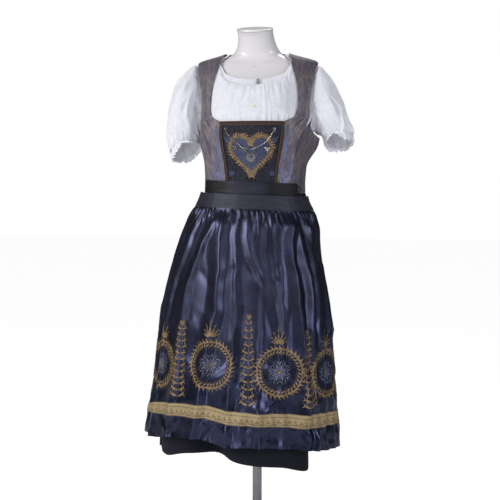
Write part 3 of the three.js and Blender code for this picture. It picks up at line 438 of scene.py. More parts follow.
class Lump:
    """Several small closed bodies gathered into one mesh."""

    def __init__(self):
        self.v, self.f, self.n = [], [], 0

    def add(self, verts, faces):
        verts = np.asarray(verts, float)
        for f in faces:
            g = []
            for k in f:
                if not g or (k != g[-1] and k != g[0]):
                    g.append(k)
            self.f.append(tuple(int(k) + self.n for k in g))
        self.v.append(verts)
        self.n += len(verts)

    def ball(self, centre, r, n=8, m=5, squash=(1, 1, 1)):
        c = np.asarray(centre, float)
        V, F = [c + np.array([0, 0, r]) * squash], []
        for j in range(1, m):
            th = math.pi * j / m
            for i in range(n):
                ph = 2 * math.pi * i / n
                V.append(c + r * np.array([math.sin(th) * math.cos(ph), math.sin(th) * math.sin(ph), math.cos(th)]) * squash)
        V.append(c - np.array([0, 0, r]) * squash)
        last = len(V) - 1
        for i in range(n):
            F.append((0, 1 + i, 1 + (i + 1) % n))
            F.append((last, last - n + (i + 1) % n, last - n + i))
            for j in range(m - 2):
                a, b = 1 + j * n, 1 + (j + 1) * n
                F.append((a + i, b + i, b + (i + 1) % n, a + (i + 1) % n))
        self.add(V, F)

    def object(self, name, sharp=40):
        me = bpy.data.meshes.new(name)
        me.from_pydata((np.concatenate(self.v) * MM).tolist(), [], self.f)
        me.validate()
        me.update()
        me.polygons.foreach_set("use_smooth", np.full(len(me.polygons), True))
        if sharp:
            me.set_sharp_from_angle(angle=sharp * DEG)
        ob = bpy.data.objects.new(name, me)
        bpy.context.scene.collection.objects.link(ob)
        return ob


# ---------- materials ----------
def rgb(r, g, b):
    def lin(c):
        c /= 255
        return c / 12.92 if c <= 0.04045 else ((c + 0.055) / 1.055) ** 2.4

    return (lin(r), lin(g), lin(b), 1.0)


class Graph:
    def __init__(self, name):
        self.mat = bpy.data.materials.new(name)
        self.mat.use_nodes = True
        self.t = self.mat.node_tree
        self.t.nodes.clear()
        self.out = self.t.nodes.new("ShaderNodeOutputMaterial")

    def node(self, kind, ins=None, **props):
        n = self.t.nodes.new("ShaderNode" + kind)
        for k, v in props.items():
            setattr(n, k, v)
        for k, v in (ins or {}).items():
            self.put(n.inputs[k], v)
        return n

    def put(self, socket, v):
        if isinstance(v, bpy.types.NodeSocket):
            self.t.links.new(v, socket)
        else:
            socket.default_value = v

    def math(self, op, a, b=0.0, c=0.0, clamp=False):
        return self.node("Math", {0: a, 1: b, 2: c}, operation=op, use_clamp=clamp).outputs[0]

    def uv(self):
        return self.node("UVMap", uv_map="cut").outputs[0]

    def object(self):
        return self.node("TexCoord").outputs["Object"]

    def scaled(self, vec, x, y, z=1.0):
        return self.node("Mapping", {"Vector": vec, "Scale": (x, y, z)}).outputs[0]

    def noise(self, vec, scale, detail=2.0, rough=0.5, distort=0.0):
        return self.node(
            "TexNoise", {"Vector": vec, "Scale": scale, "Detail": detail, "Roughness": rough, "Distortion": distort}
        ).outputs["Fac"]

    def ramp(self, f, *stops, interp="LINEAR"):
        n = self.node("ValToRGB", {0: f})
        n.color_ramp.interpolation = interp
        e = n.color_ramp.elements
        while len(e) < len(stops):
            e.new(0.5)
        for k, (p, c) in enumerate(stops):
            e[k].position = p
            e[k].color = c if hasattr(c, "__len__") else (c, c, c, 1)
        return n.outputs[0]

    def blend(self, f, a, b, kind="MIX"):
        n = self.node("Mix", data_type="RGBA", blend_type=kind)
        self.put(n.inputs[0], f)
        self.put(n.inputs[6], a)
        self.put(n.inputs[7], b)
        return n.outputs[2]

    def step(self, x, lo, hi):
        """0 below lo and 1 above hi, smooth between."""
        return self.node("MapRange", {0: x, 1: lo, 2: hi, 3: 0.0, 4: 1.0}, interpolation_type="SMOOTHSTEP").outputs[0]

    def split(self, vec):
        n = self.node("SeparateXYZ", {0: vec})
        return n.outputs[0], n.outputs[1], n.outputs[2]

    def bump(self, height, dist, strength=1.0, normal=None):
        ins = {"Height": height, "Distance": dist, "Strength": strength}
        if normal is not None:
            ins["Normal"] = normal
        return self.node("Bump", ins).outputs[0]

    def finish(self, **ins):
        p = self.node("BsdfPrincipled", {k.replace("_", " "): v for k, v in ins.items()})
        self.put(self.out.inputs[0], p.outputs[0])
        return self.mat


def weave(g, pitch, depth, vec=None):
    """Fine plain weave from the cut coordinates: pitch in metres."""
    x, y, _ = g.split(g.uv() if vec is None else vec)
    a = g.math("SINE", g.math("MULTIPLY", x, 2 * math.pi / pitch))
    b = g.math("SINE", g.math("MULTIPLY", y, 2 * math.pi / pitch))
    return g.bump(g.math("MULTIPLY", a, b), depth)


def mat_form():
    g = Graph("form_skin")
    p = g.object()
    n = g.noise(p, 9, 3)
    col = g.blend(g.step(n, 0.2, 0.8), rgb(211, 208, 211), rgb(214, 211, 214))
    return g.finish(
        Base_Color=col, Roughness=g.ramp(g.noise(p, 25, 1), (0.2, 0.27), (0.8, 0.31)), Specular_IOR_Level=0.5,
        Normal=g.bump(g.noise(p, 120, 1), 0.00002, 0.4), Coat_Weight=0.25, Coat_Roughness=0.15,
    )


def mat_steel():
    g = Graph("stand_steel")
    p = g.object()
    n = g.noise(g.scaled(p, 60, 60, 900), 1.0, 2)
    return g.finish(
        Base_Color=g.ramp(n, (0.3, rgb(120, 122, 126)), (0.7, rgb(160, 162, 166))), Metallic=1.0,
        Roughness=g.ramp(n, (0.3, 0.32), (0.7, 0.46)), Normal=g.bump(n, 0.00003, 0.5),
    )


def mat_cotton(name="blouse_cotton", sheer=0.3, light=-2, painted_glow=0.02):
    g = Graph(name)
    n = g.noise(g.uv(), 60, 4, 0.6)
    col = g.blend(g.step(n, 0.35, 0.7), rgb(218 + light, 218 + light, 227 + light), rgb(228 + light, 228 + light, 235 + light))
    wv = weave(g, 0.0011, 0.00005)
    return g.finish(
        Base_Color=col, Roughness=0.88, Sheen_Weight=0.15, Sheen_Roughness=0.5,
        Normal=g.bump(g.noise(g.uv(), 130, 3), 0.0006, 0.5, wv),
        Subsurface_Weight=sheer, Subsurface_Radius=(1.0, 0.9, 0.8), Subsurface_Scale=0.004,
        # painted light: a faint bluish emission glows in the cotton and lifts its shaded folds, standing in for light
        # through the thin cloth
        Emission_Color=(0.86, 0.87, 1.0, 1.0), Emission_Strength=painted_glow,
    )


def mat_brocade(name="brocade", dark=1.0):
    """Slate grey ground with tan and mauve flame-like upright figures; slate-blue satin beside the stomacher, its slate
    blue a painted sheen on satin figures.
    """
    g = Graph(name)
    v = g.uv()
    x, y, z = g.split(g.object())
    figure = g.noise(g.scaled(v, 62, 24), 1.0, 4, 0.6, 1.6)
    streak = g.noise(g.scaled(v, 210, 60), 1.0, 4, 0.68, 1.0)
    patch = g.noise(g.scaled(v, 26, 9), 1.0, 2, 0.5, 0.5)
    col = g.ramp(figure, (0.34, rgb(70, 66, 76)), (0.46, rgb(92, 88, 100)), (0.56, rgb(108, 102, 114)), (0.68, rgb(84, 80, 96)))
    tan = g.math("MULTIPLY", g.step(streak, 0.46, 0.56), g.step(figure, 0.44, 0.54))
    col = g.blend(g.math("MULTIPLY", tan, 0.85), col, rgb(146, 123, 104))
    col = g.blend(g.math("MULTIPLY", g.step(patch, 0.46, 0.6), 0.5), col, rgb(66, 64, 78))
    ax = g.math("ABSOLUTE", g.math("ADD", x, 0.004))
    low = g.math("SUBTRACT", 1.0, g.step(z, 1.170, 1.205))
    near = g.math("MULTIPLY", g.math("SUBTRACT", 1.0, g.step(ax, 0.108, 0.128)), g.math("MULTIPLY", low, g.step(g.math("MULTIPLY", y, -1.0), 0.0, 0.05)))
    leaf = g.step(g.noise(g.scaled(v, 52, 16), 1.0, 2.5, 0.6, 1.2), 0.49, 0.55)
    few = g.math("MULTIPLY", g.step(g.noise(g.scaled(v, 52, 20), 1.0, 1.5, 0.5, 1.4), 0.61, 0.66), 0.5)
    # satin figures: their lower roughness is the weave, their slate-blue colour is a painted sheen, strongest beside
    # the stomacher
    satin = g.math("MAXIMUM", g.math("MULTIPLY", g.math("MULTIPLY", near, leaf), 0.9), few)
    col = g.blend(satin, col, g.ramp(streak, (0.35, rgb(78, 84, 122)), (0.65, rgb(104, 110, 152))))
    col = g.blend(g.math("MULTIPLY", g.step(z, 1.27, 1.37), 0.55), col, rgb(72, 67, 76))
    # painted shade: dark below 1 blends the colour towards a dark grey, a shaded copy of the brocade
    if dark < 1:
        col = g.blend(1 - dark, col, rgb(50, 46, 56))
    h = g.math("ADD", g.math("MULTIPLY", figure, 0.6), g.math("MULTIPLY", streak, 0.4))
    return g.finish(
        Base_Color=col, Roughness=g.blend(satin, (0.66,) * 3 + (1,), (0.36,) * 3 + (1,)), Metallic=0.12,
        Sheen_Weight=0.12, Sheen_Roughness=0.4, Sheen_Tint=rgb(150, 150, 180),
        Normal=g.bump(h, 0.0011, 0.7),
    )


def mat_stomacher():
    g = Graph("stomacher_jacquard")
    v = g.uv()
    leaf = g.node("TexVoronoi", {"Vector": g.scaled(v, 150, 90), "Scale": 1.0, "Randomness": 0.9}).outputs["Distance"]
    n = g.noise(v, 120, 3, 0.6, 1.5)
    mask = g.step(g.math("ADD", leaf, g.math("MULTIPLY", n, 0.5)), 0.5, 0.75)
    col = g.blend(mask, rgb(12, 13, 19), rgb(26, 28, 42))
    return g.finish(
        Base_Color=col, Roughness=g.blend(mask, (0.7,) * 3 + (1,), (0.45,) * 3 + (1,)), Metallic=0.05, Specular_IOR_Level=0.25,
        Normal=g.bump(g.math("MULTIPLY", mask, 1.0), 0.0005, 0.6, weave(g, 0.0012, 0.0001)),
    )


def mat_velvet():
    """Ribbon: v runs across it in metres, from 0 to its width."""
    g = Graph("velvet_ribbon")
    _, y, _ = g.split(g.uv())
    n = g.noise(g.scaled(g.uv(), 400, 900), 1.0, 3)
    line = g.math("MULTIPLY", g.step(y, 0.0066, 0.0069), g.math("SUBTRACT", 1.0, g.step(y, 0.0073, 0.0076)))
    col = g.blend(line, g.ramp(n, (0.3, rgb(38, 24, 19)), (0.7, rgb(60, 39, 30))), rgb(92, 72, 54))
    return g.finish(
        Base_Color=col, Roughness=0.9, Sheen_Weight=0.15, Sheen_Roughness=0.35, Sheen_Tint=rgb(160, 125, 110),
        Normal=g.bump(n, 0.0004, 0.6),
    )


def mat_silver(name="silver", bright=1.0):
    g = Graph(name)
    p = g.object()
    n = g.noise(p, 320, 3, 0.6)
    col = g.ramp(n, (0.35, rgb(96 * bright, 92 * bright, 86 * bright)), (0.6, rgb(205 * bright, 200 * bright, 190 * bright)))
    return g.finish(
        Base_Color=col, Metallic=1.0, Roughness=g.ramp(n, (0.35, 0.42), (0.6, 0.22)),
        Normal=g.bump(g.noise(p, 900, 2), 0.00012, 0.6),
    )


def mat_pearl():
    g = Graph("pearl")
    n = g.noise(g.object(), 260, 2)
    return g.finish(
        Base_Color=g.ramp(n, (0.3, rgb(214, 208, 180)), (0.7, rgb(236, 232, 214))), Roughness=0.25, Coat_Weight=0.6,
        Coat_Roughness=0.1,
    )


def mat_satin():
    g = Graph("belt_satin")
    v = g.uv()
    n = g.noise(g.scaled(v, 9, 60), 1.0, 3, 0.5, 0.4)
    x, _, _ = g.split(v)
    # painted sheen: a lighter slate-blue band across the middle of the belt's front stands in for its highlight
    mid = g.math("SUBTRACT", 1.0, g.step(g.math("ABSOLUTE", g.math("ADD", x, 0.006)), 0.045, 0.075))
    col = g.blend(mid, g.ramp(n, (0.3, rgb(14, 13, 15)), (0.7, rgb(24, 22, 26))), g.ramp(n, (0.3, rgb(26, 27, 37)), (0.7, rgb(42, 44, 60))))
    return g.finish(
        Base_Color=col, Roughness=0.46, Metallic=0.1, Specular_IOR_Level=0.22,
        Normal=g.bump(n, 0.0009, 0.6, weave(g, 0.0009, 0.00004)),
    )


def mat_taffeta(name="apron_taffeta"):
    """Crisp shot taffeta: dark navy with a slate-blue shine, more saturated towards the hem."""
    g = Graph(name)
    v = g.uv()
    _, y, _ = g.split(v)
    n = g.noise(v, 14, 4, 0.6, 0.3)
    slub = g.noise(g.scaled(v, 40, 900), 1.0, 3, 0.6)
    top = g.ramp(n, (0.3, rgb(38, 40, 53)), (0.7, rgb(56, 58, 79)))
    low = g.ramp(n, (0.3, rgb(32, 35, 50)), (0.7, rgb(48, 52, 78)))
    col = g.blend(g.step(y, 0.2, 0.5), top, low)
    col = g.blend(g.math("MULTIPLY", g.step(slub, 0.4, 0.7), 0.25), col, rgb(80, 84, 108))
    h = g.noise(g.scaled(v, 22, 9), 1.0, 1.0, 0.4)
    return g.finish(
        Base_Color=col, Metallic=0.9,
        Roughness=g.math("ADD", g.ramp(g.noise(v, 40, 2), (0.3, 0.25), (0.7, 0.31)), g.math("MULTIPLY", g.math("SUBTRACT", 1.0, g.step(y, 0.3, 0.55)), 0.11)),
        Normal=g.bump(h, 0.0016, 0.45, g.bump(slub, 0.00003, 0.4)),
    )


def mat_waistband():
    g = Graph("waistband_rib")
    v = g.uv()
    _, y, _ = g.split(v)
    rib = g.math("SINE", g.math("MULTIPLY", y, 2 * math.pi / 0.0026))
    n = g.noise(g.scaled(v, 20, 260), 1.0, 3, 0.6)
    col = g.ramp(n, (0.3, rgb(38, 40, 50)), (0.7, rgb(56, 58, 72)))
    return g.finish(
        Base_Color=col, Metallic=0.45, Roughness=0.46,
        Normal=g.bump(rib, 0.00025, 0.7, g.bump(n, 0.0008, 0.5)),
    )


def mat_trim():
    """Woven ribbon: v across it in metres from its top edge, 0.039 wide. A row of dashes, then arches and points."""
    g = Graph("gold_trim")
    x, y, _ = g.split(g.uv())

    def wave_of(period, shift=0.0):
        # distance in metres from the middle of the nearest repeat
        f = g.math("FRACT", g.math("ADD", g.math("MULTIPLY", x, 1 / period), shift + 0.5))
        return g.math("MULTIPLY", g.math("ABSOLUTE", g.math("SUBTRACT", f, 0.5)), period)

    def band(lo, hi, soft=0.0005):
        return g.math("MULTIPLY", g.step(y, lo - soft, lo + soft), g.math("SUBTRACT", 1.0, g.step(y, hi - soft, hi + soft)))

    def less(a, b, soft=0.0005):
        return g.math("SUBTRACT", 1.0, g.step(g.math("SUBTRACT", a, b), -soft, soft))

    def union(*m):
        r = m[0]
        for k in m[1:]:
            r = g.math("MAXIMUM", r, k)
        return r

    d = wave_of(0.0084)
    dashes = g.math("MULTIPLY", band(0.0095, 0.0118), less(d, 0.0029))
    edge = union(band(0.0, 0.0018), band(0.0365, 0.045))
    w = wave_of(0.034)
    # triangle: half width grows downwards
    tri = g.math("MULTIPLY", band(0.0165, 0.0315), less(w, g.math("MULTIPLY", g.math("SUBTRACT", y, 0.0165), 0.42)))
    tri_in = g.math("MULTIPLY", band(0.021, 0.0295), less(w, g.math("MULTIPLY", g.math("SUBTRACT", y, 0.021), 0.4)))
    w2 = wave_of(0.034, 0.5)
    dx = g.math("MULTIPLY", w2, w2)
    dy = g.math("SUBTRACT", y, 0.0305)
    r = g.math("SQRT", g.math("ADD", dx, g.math("MULTIPLY", dy, dy)))
    arc = g.math("MULTIPLY", g.math("MULTIPLY", g.step(r, 0.0052, 0.006), less(r, 0.0078)), less(y, 0.0308))
    stem = g.math("MULTIPLY", band(0.0175, 0.0305), less(w2, 0.0008))
    base = band(0.0318, 0.0332)
    dark = union(dashes, edge, g.math("MULTIPLY", tri, g.math("SUBTRACT", 1.0, tri_in)), arc, stem, base)
    n = g.noise(g.scaled(g.uv(), 900, 300), 1.0, 3)
    gold = g.ramp(n, (0.3, rgb(128, 110, 78)), (0.55, rgb(158, 139, 102)), (0.75, rgb(176, 159, 124)))
    col = g.blend(g.math("MULTIPLY", dark, 0.8), gold, rgb(62, 50, 44))
    thread = g.math("SINE", g.math("MULTIPLY", x, 2 * math.pi / 0.0011))
    return g.finish(
        Base_Color=col, Metallic=0.25, Roughness=0.55,
        Normal=g.bump(g.math("SUBTRACT", 1.0, dark), 0.0004, 0.7, g.bump(thread, 0.00008, 0.5)),
    )


def mat_skirt():
    g = Graph("skirt_cloth")
    v = g.uv()
    n = g.noise(g.scaled(v, 12, 5), 1.0, 3)
    col = g.ramp(n, (0.3, rgb(8, 9, 18)), (0.7, rgb(13, 16, 31)))
    fine = g.noise(v, 900, 2)
    return g.finish(
        Base_Color=col, Roughness=0.7, Metallic=0.0, Specular_IOR_Level=0.2, Sheen_Weight=0.06, Sheen_Tint=rgb(120, 130, 190),
        Normal=g.bump(fine, 0.0002, 0.5, weave(g, 0.0012, 0.0001)),
    )


def mat_print(name, a, b, metal=0.3, rough=0.5):
    g = Graph(name)
    p = g.object()
    n = g.noise(p, 220, 3, 0.6)
    return g.finish(
        Base_Color=g.ramp(n, (0.35, a), (0.65, b)), Metallic=metal, Roughness=rough,
        Normal=g.bump(g.noise(p, 700, 2), 0.0003, 0.6),
    )


def mat_floor():
    g = Graph("floor_paper")
    n = g.noise(g.object(), 3, 2)
    d = g.node("BsdfDiffuse", {"Color": g.ramp(n, (0.3, 0.93), (0.7, 0.95))})
    e = g.node("Emission", {"Color": (1, 1, 1, 1), "Strength": 1.12})
    path = g.node("LightPath").outputs["Is Camera Ray"]
    m = g.node("MixShader")
    g.put(m.inputs[0], g.math("MULTIPLY", path, 0.86))
    g.put(m.inputs[1], d.outputs[0])
    g.put(m.inputs[2], e.outputs[0])
    g.put(g.out.inputs[0], m.outputs[0])
    return g.mat


M = {
    "form_skin": mat_form(),
    "stand_steel": mat_steel(),
    "blouse_cotton": mat_cotton(),
    # the sleeves carry a stronger painted glow than the blouse, lifting their shaded folds
    "sleeve_cotton": mat_cotton("sleeve_cotton", 0.4, -4, 0.03),
    "brocade": mat_brocade(),
    # brocade with painted shade, for the side panel that lies in shade
    "brocade_painted_shade": mat_brocade("brocade_painted_shade", 0.55),
    "stomacher_jacquard": mat_stomacher(),
    "velvet_ribbon": mat_velvet(),
    "silver": mat_silver(),
    "silver_dark": mat_silver("silver_dark", 0.6),
    "pearl": mat_pearl(),
    "belt_satin": mat_satin(),
    "apron_taffeta": mat_taffeta(),
    "waistband_rib": mat_waistband(),
    "gold_trim": mat_trim(),
    "skirt_cloth": mat_skirt(),
    "gold_print": mat_print("gold_print", rgb(84, 68, 46), rgb(142, 118, 82)),
    "blue_print": mat_print("blue_print", rgb(38, 44, 70), rgb(58, 65, 96), 0.35, 0.42),
    "grey_print": mat_print("grey_print", rgb(82, 84, 94), rgb(122, 124, 136), 0.3, 0.45),
}


def dress(ob, material, slot, *nodes):
    ob.data.materials.append(M[material])
    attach(ob, "root")
    if nodes:
        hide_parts(*nodes)
    return ob


# ---------- stand and dress form ----------
def build_stand():
    base = [(0, 0), (150, 0), (162, 0), (164.2, 0.9), (165, 3), (165, 4), (164.2, 5.6), (162, 6.6), (158, 7.4), (120, 8.6),
            (60, 10.4), (33, 11.4), (30, 12), (28.6, 14), (27.6, 20), (26.6, 30), (26, 36), (25, 37.6), (23, 38), (15, 38), (0, 38)]
    dress(revolve("base", base, 128), "stand_steel", "stand_steel", "stand_base")
    pole = [(0, 38.3), (13, 38.3), (14, 39.3), (14, 300), (14, 560), (14, 776.7), (13, 777.7), (0, 777.7)]
    dress(revolve("pole", pole, 48), "stand_steel", "stand_steel", "stand_pole")
    socket = [(0, 778), (23, 778), (24, 779), (25, 784), (26, 789), (28, 791), (42, 794.4), (44, 796), (44, 799), (43.4, 799.6), (0, 799.6)]
    dress(revolve("socket", socket, 64), "stand_steel", "stand_steel", "form_socket")


NECK_TOP, NECK_SLOPE = 1478, 0.25


def neck_point(angle, r, h):
    low = ring(FORM, angle, 1464)
    x, y = curve(CENTRE, "x", NECK_TOP), curve(CENTRE, "y", NECK_TOP)
    dx, dy = low[..., 0] * r, (low[..., 1] - curve(CENTRE, "y", 1464)) * r
    return np.stack([dx + x, dy + y, NECK_TOP + NECK_SLOPE * dy + h], -1)


def build_form():
    n = 144
    t = np.arange(n) * 2 * np.pi / n
    z = np.unique(np.concatenate([
        np.linspace(800, 812, 5), np.linspace(812, 1364, 58), np.linspace(1364, 1464, 52)]))
    rows = []
    for h in z:
        p = ring(FORM, t, np.full(n, h))
        p[:, 2] += NECK_SLOPE * (p[:, 1] + 20) * smooth((h - 1440) / 60)
        rows.append(p)
    last = rows[-1]
    for k in (0.33, 0.66, 1.0):
        rows.append(mix(last, neck_point(t, 1, 0), k))
    V = np.concatenate(rows + [np.array([[float(curve(CENTRE, "x", 800)), 0, 800]]), neck_point(np.array([0.0]), 0, 0)])
    F = []
    for j in range(len(rows) - 1):
        a, b = j * n + np.arange(n), (j + 1) * n + np.arange(n)
        a2, b2 = np.roll(a, -1), np.roll(b, -1)
        F += np.stack([a, a2, b2, b], -1).tolist()
    low, top = len(V) - 2, len(V) - 1
    lump = Lump()
    first, end = np.arange(n), (len(rows) - 1) * n + np.arange(n)
    F += [(low, int(first[(i + 1) % n]), int(first[i])) for i in range(n)]
    F += [(top, int(end[i]), int(end[(i + 1) % n])) for i in range(n)]
    lump.add(V, F)
    dress(lump.object("form_body"), "form_skin", "form_skin", "form_torso")
    # the cap on the neck, with a rounded rim
    prof = [(0, 0.4), (0.9, 0.4), (0.99, 0.5), (1.02, 1.0), (1.03, 1.8), (1.03, 3.8), (1.025, 5.0), (1.0, 5.8), (0.96, 6.1), (0.6, 6.4), (0, 6.6)]
    V, F, rings = [], [], []
    for r, h in prof:
        count = 1 if r == 0 else n
        rings.append(np.full(n, sum(len(v) for v in V)) if r == 0 else sum(len(v) for v in V) + np.arange(n))
        V.append(neck_point(t[:count], r, h))
    for a, b in zip(rings[:-1], rings[1:]):
        a2, b2 = np.roll(a, -1), np.roll(b, -1)
        F += np.stack([a, a2, b2, b], -1).tolist()
    lump = Lump()
    lump.add(np.concatenate(V), F)
    dress(lump.object("form_cap"), "form_skin", "form_skin", "form_neck_cap")
    # the small screw at the base of the neck
    z = 1372.0
    p = ring(FORM, np.array([-0.01]), np.array([z]))[0]
    nrm = ring_normal(FORM, np.array([-0.01]), np.array([z]))[0]
    screw = Lump()
    screw.ball(p + nrm * 0.2, 1.5, 14, 8)
    dress(screw.object("form_screw"), "stand_steel", "stand_steel")


# ---------- folds ----------
def gather_field(seed, count, lo, hi, width, height, length):
    """A table of small gathers under a band: angle in degrees, half width and height in mm, length in mm."""
    rng = np.random.default_rng(seed)
    step = (hi - lo) / count
    return [
        dict(
            deg=lo + (i + 0.5 + rng.uniform(-0.36, 0.36)) * step, wide=rng.uniform(*width), high=rng.uniform(*height),
            long=rng.uniform(*length), lean=rng.uniform(-3, 3), start=rng.uniform(0, 0.12),
        )
        for i in range(count)
    ]


def add_gathers(H, deg, depth, radius, table_of):
    """Adds the gathers to H. depth is how far below the band in mm, radius the mm in a degree."""
    for g in table_of:
        t = depth / g["long"]
        centre = g["deg"] + g["lean"] * t * 0.4
        w = g["wide"] * (0.55 + 0.9 * np.clip(t, 0, 1))
        grow = smooth((t - g["start"] * 0.5) / 0.16) * (1 - smooth((t - 0.45) / 0.55))
        d = (deg - centre) * radius
        H += g["high"] * grow * (np.exp(-np.abs(d / w) ** 1.6) - 0.45 * bump(d - 1.9 * w, 0.8 * w))
    return H


def crumples(seed, count, lo, hi, z_lo, z_hi, high, tilt=(-70, 70), long=(18, 60), wide=(2.4, 6.5)):
    rng = np.random.default_rng(seed)
    out = []
    for _ in range(count):
        a = rng.uniform(*tilt) * DEG
        out.append(dict(deg=rng.uniform(lo, hi), z=rng.uniform(z_lo, z_hi), cos=math.cos(a), sin=math.sin(a),
                        long=rng.uniform(*long), wide=rng.uniform(*wide), high=rng.uniform(0.35, 1) * high * rng.choice([1, -1], p=[0.7, 0.3])))
    return out


def add_crumples(H, deg, z, radius, table_of):
    for c in table_of:
        dx, dz = (deg - c["deg"]) * radius, z - c["z"]
        s, d = dx * c["sin"] + dz * c["cos"], dx * c["cos"] - dz * c["sin"]
        H += c["high"] * bump(s, c["long"] / 2) * np.exp(-np.abs(d / c["wide"]) ** 1.5)
    return H


# Apron: each crease by its angle at seven heights, its height in mm at the top, middle and hem, the half widths of its
# lit left slope and its steep right slope, and where it starts and ends.
CREASE_Z = np.array([940, 850, 760, 680, 560, 400, 290.0])[::-1]
CREASES = [
    # name, angles at the seven heights, top, mid, low, left, right, from, to
    ("A", (-50.5, -54, -60.5, -64, -66.5, -67, -67), 4, 7, 9, 18, 10, 948, 0),
    ("B", (-64, -70, -77, -78, -78, -79, -80), 5, 9, 6, 24, 16, 930, 0),
    ("C", (-30, -36.5, -43, -45, -46.5, -48, -49), 6, 10, 9, 22, 12, 950, 0),
    ("D", (-22.5, -21.5, -20, -20, -24, -28, -30), 11, 17, 14, 34, 16, 950, 0),
    ("E", (-11.5, -10.3, -9, -8.3, -9, -11, -11), 3, 5, 7, 11, 16, 950, 0),
    ("F", (-2.5, -1, 9, 13, 13, 13, 13), 6, 7, 0, 14, 10, 948, 735),
    ("G", (8.3, 7.5, 11, 11.5, 10, 8, 7), 2, 3, 7, 12, 16, 945, 0),
    ("I", (20, 19.5, 22.5, 25, 25, 25, 25), 4, 5, 0, 12, 8, 950, 725),
    ("J", (26, 25.6, 26.5, 26, 25, 24, 24), 4, 6, 6, 14, 10, 940, 0),
    ("K", (36.8, 36.2, 38, 38.5, 40, 42, 42), 12, 23, 16, 44, 17, 950, 0),
    ("L", (44.5, 48.2, 55.5, 53, 51, 51, 51), 6, 10, 9, 20, 12, 945, 0),
    ("M", (54, 70.5, 80.3, 78, 74, 72, 72), 5, 6, 6, 14, 9, 945, 0),
    ("Q", (60, 62, 66, 64, 62, 61, 60), 4, 6, 6, 18, 14, 930, 0),
]


def crease_height(table_of, deg, z, radius, levels=CREASE_Z, mids=(900, 720, 330)):
    H = np.zeros_like(deg)
    for _, angles, top, mid, low, left, right, start, end in table_of:
        centre = hermite(levels, np.array(angles, float)[::-1], z)
        high = hermite(np.array(mids[::-1], float), np.array([low, mid, top], float), z)
        d = (deg - centre) * radius
        d = d + 1.6 * np.sin(z / 23.0 + top * 5 + left) + 0.9 * np.sin(z / 9.5 + right)
        wide = np.where(d < 0, left, right) * (1.25 + 0.22 * np.sin(z / 41.0 + left * 1.7 + mid))
        # nearly flat slopes that meet in a crisp crest, as stiff silk folds
        x = np.clip(1 - (np.sqrt(d * d + 5.0) - 2.24) / wide, 0, 1)
        part = high * (0.75 * x + 0.25 * x * x * (3 - 2 * x)) * x**0.25 * smooth((start - z) / 40)
        if end:
            part *= smooth((z - end) / 55)
        H += part
    return H


def arc_of(T, deg, z):
    """Millimetres along the ring for one degree."""
    a = np.asarray(deg) * DEG
    return np.linalg.norm(ring(T, a + 0.01, z) - ring(T, a - 0.01, z), axis=-1) / (0.02 / DEG)


def hang(T, deg, z, out):
    """A point of hanging cloth: moved out along the level normal, then lowered by the roll of the dress."""
    a = deg * DEG
    p = ring(T, a, z) + ring_normal(T, a, z, flat=True) * out[..., None]
    p[..., 2] -= ROLL * p[..., 0] * smooth((1010 - z) / 30) * smooth((z - 600) / 350)
    return p


# ---------- skirt ----------
SKIRT_CREASES = [
    # the same columns as the apron's creases
    ("s1", (84, 86, 88, 89, 90, 91, 91), 5, 9, 8, 14, 10, 990, 0),
    ("s2", (96, 97, 99, 99, 99, 99, 99), 7, 12, 9, 18, 9, 990, 0),
    ("s3", (108, 109, 110, 109, 108, 107, 107), 9, 15, 14, 20, 11, 990, 0),
    ("s4", (117, 117, 116, 117, 118, 118, 118), 4, 6, 6, 12, 8, 990, 0),
    ("s5", (126, 126, 127, 127, 127, 127, 127), 8, 13, 12, 19, 10, 990, 0),
    ("s6", (143, 142, 141, 141, 141, 141, 141), 9, 16, 15, 22, 12, 990, 0),
    ("s7", (151, 152, 151, 151, 150, 150, 150), 4, 6, 5, 10, 7, 990, 0),
    ("s8", (160, 160, 159, 158, 158, 158, 158), 8, 12, 11, 18, 10, 990, 0),
    ("s9", (176, 177, 176, 176, 176, 175, 175), 9, 15, 14, 24, 12, 990, 0),
    ("s10", (186, 185, 185, 186, 186, 186, 186), 4, 6, 6, 11, 8, 990, 0),
    ("s11", (193, 193, 194, 194, 194, 195, 195), 8, 12, 12, 18, 11, 990, 0),
    ("s12", (209, 210, 210, 211, 211, 211, 211), 9, 15, 14, 20, 12, 990, 0),
    ("s13", (218, 219, 220, 219, 219, 219, 219), 4, 6, 5, 10, 8, 990, 0),
    ("s14", (227, 227, 228, 229, 229, 229, 229), 8, 13, 12, 18, 10, 990, 0),
    ("s15", (244, 245, 246, 247, 247, 247, 247), 9, 14, 13, 20, 12, 990, 0),
    ("s16", (254, 256, 257, 257, 258, 258, 258), 5, 7, 7, 12, 8, 990, 0),
    ("s17", (264, 266, 268, 269, 270, 270, 270), 6, 10, 9, 16, 10, 990, 0),
]
SKIRT_GATHERS = gather_field(31, 62, 76, 284, (2.6, 5.0), (2.2, 5.0), (40, 130))
SKIRT_CRUMPLE = crumples(37, 90, 84, 276, 240, 900, 1.5)


def skirt_out(deg, z):
    """How far the skirt stands out of its ring surface."""
    out = np.zeros_like(deg)
    t = np.clip((1000 - z) / (1000 - 215), 0, 1)
    for top, hem, w_top, w_hem, high, start in ((-24, -25, 6, 12, -58, 560), (12, 14, 8, 30, 4, 700), (66, 70, 6, 13, -62, 560)):
        d = deg - mix(top, hem, t)
        d = d - 360 * np.round(d / 360)
        out += high * smooth((start - z) / (0.55 * (start - 215))) * bump(d, mix(w_top, w_hem, t))
    radius = arc_of(SKIRT, deg, z)
    back = smooth((deg - 80) / 8) * smooth((280 - deg) / 8)
    H = crease_height(SKIRT_CREASES, deg, z, radius)
    H = add_gathers(H, deg, 1000 - z, radius, SKIRT_GATHERS)
    H = add_crumples(H, deg, z, radius, SKIRT_CRUMPLE)
    return out + H * back


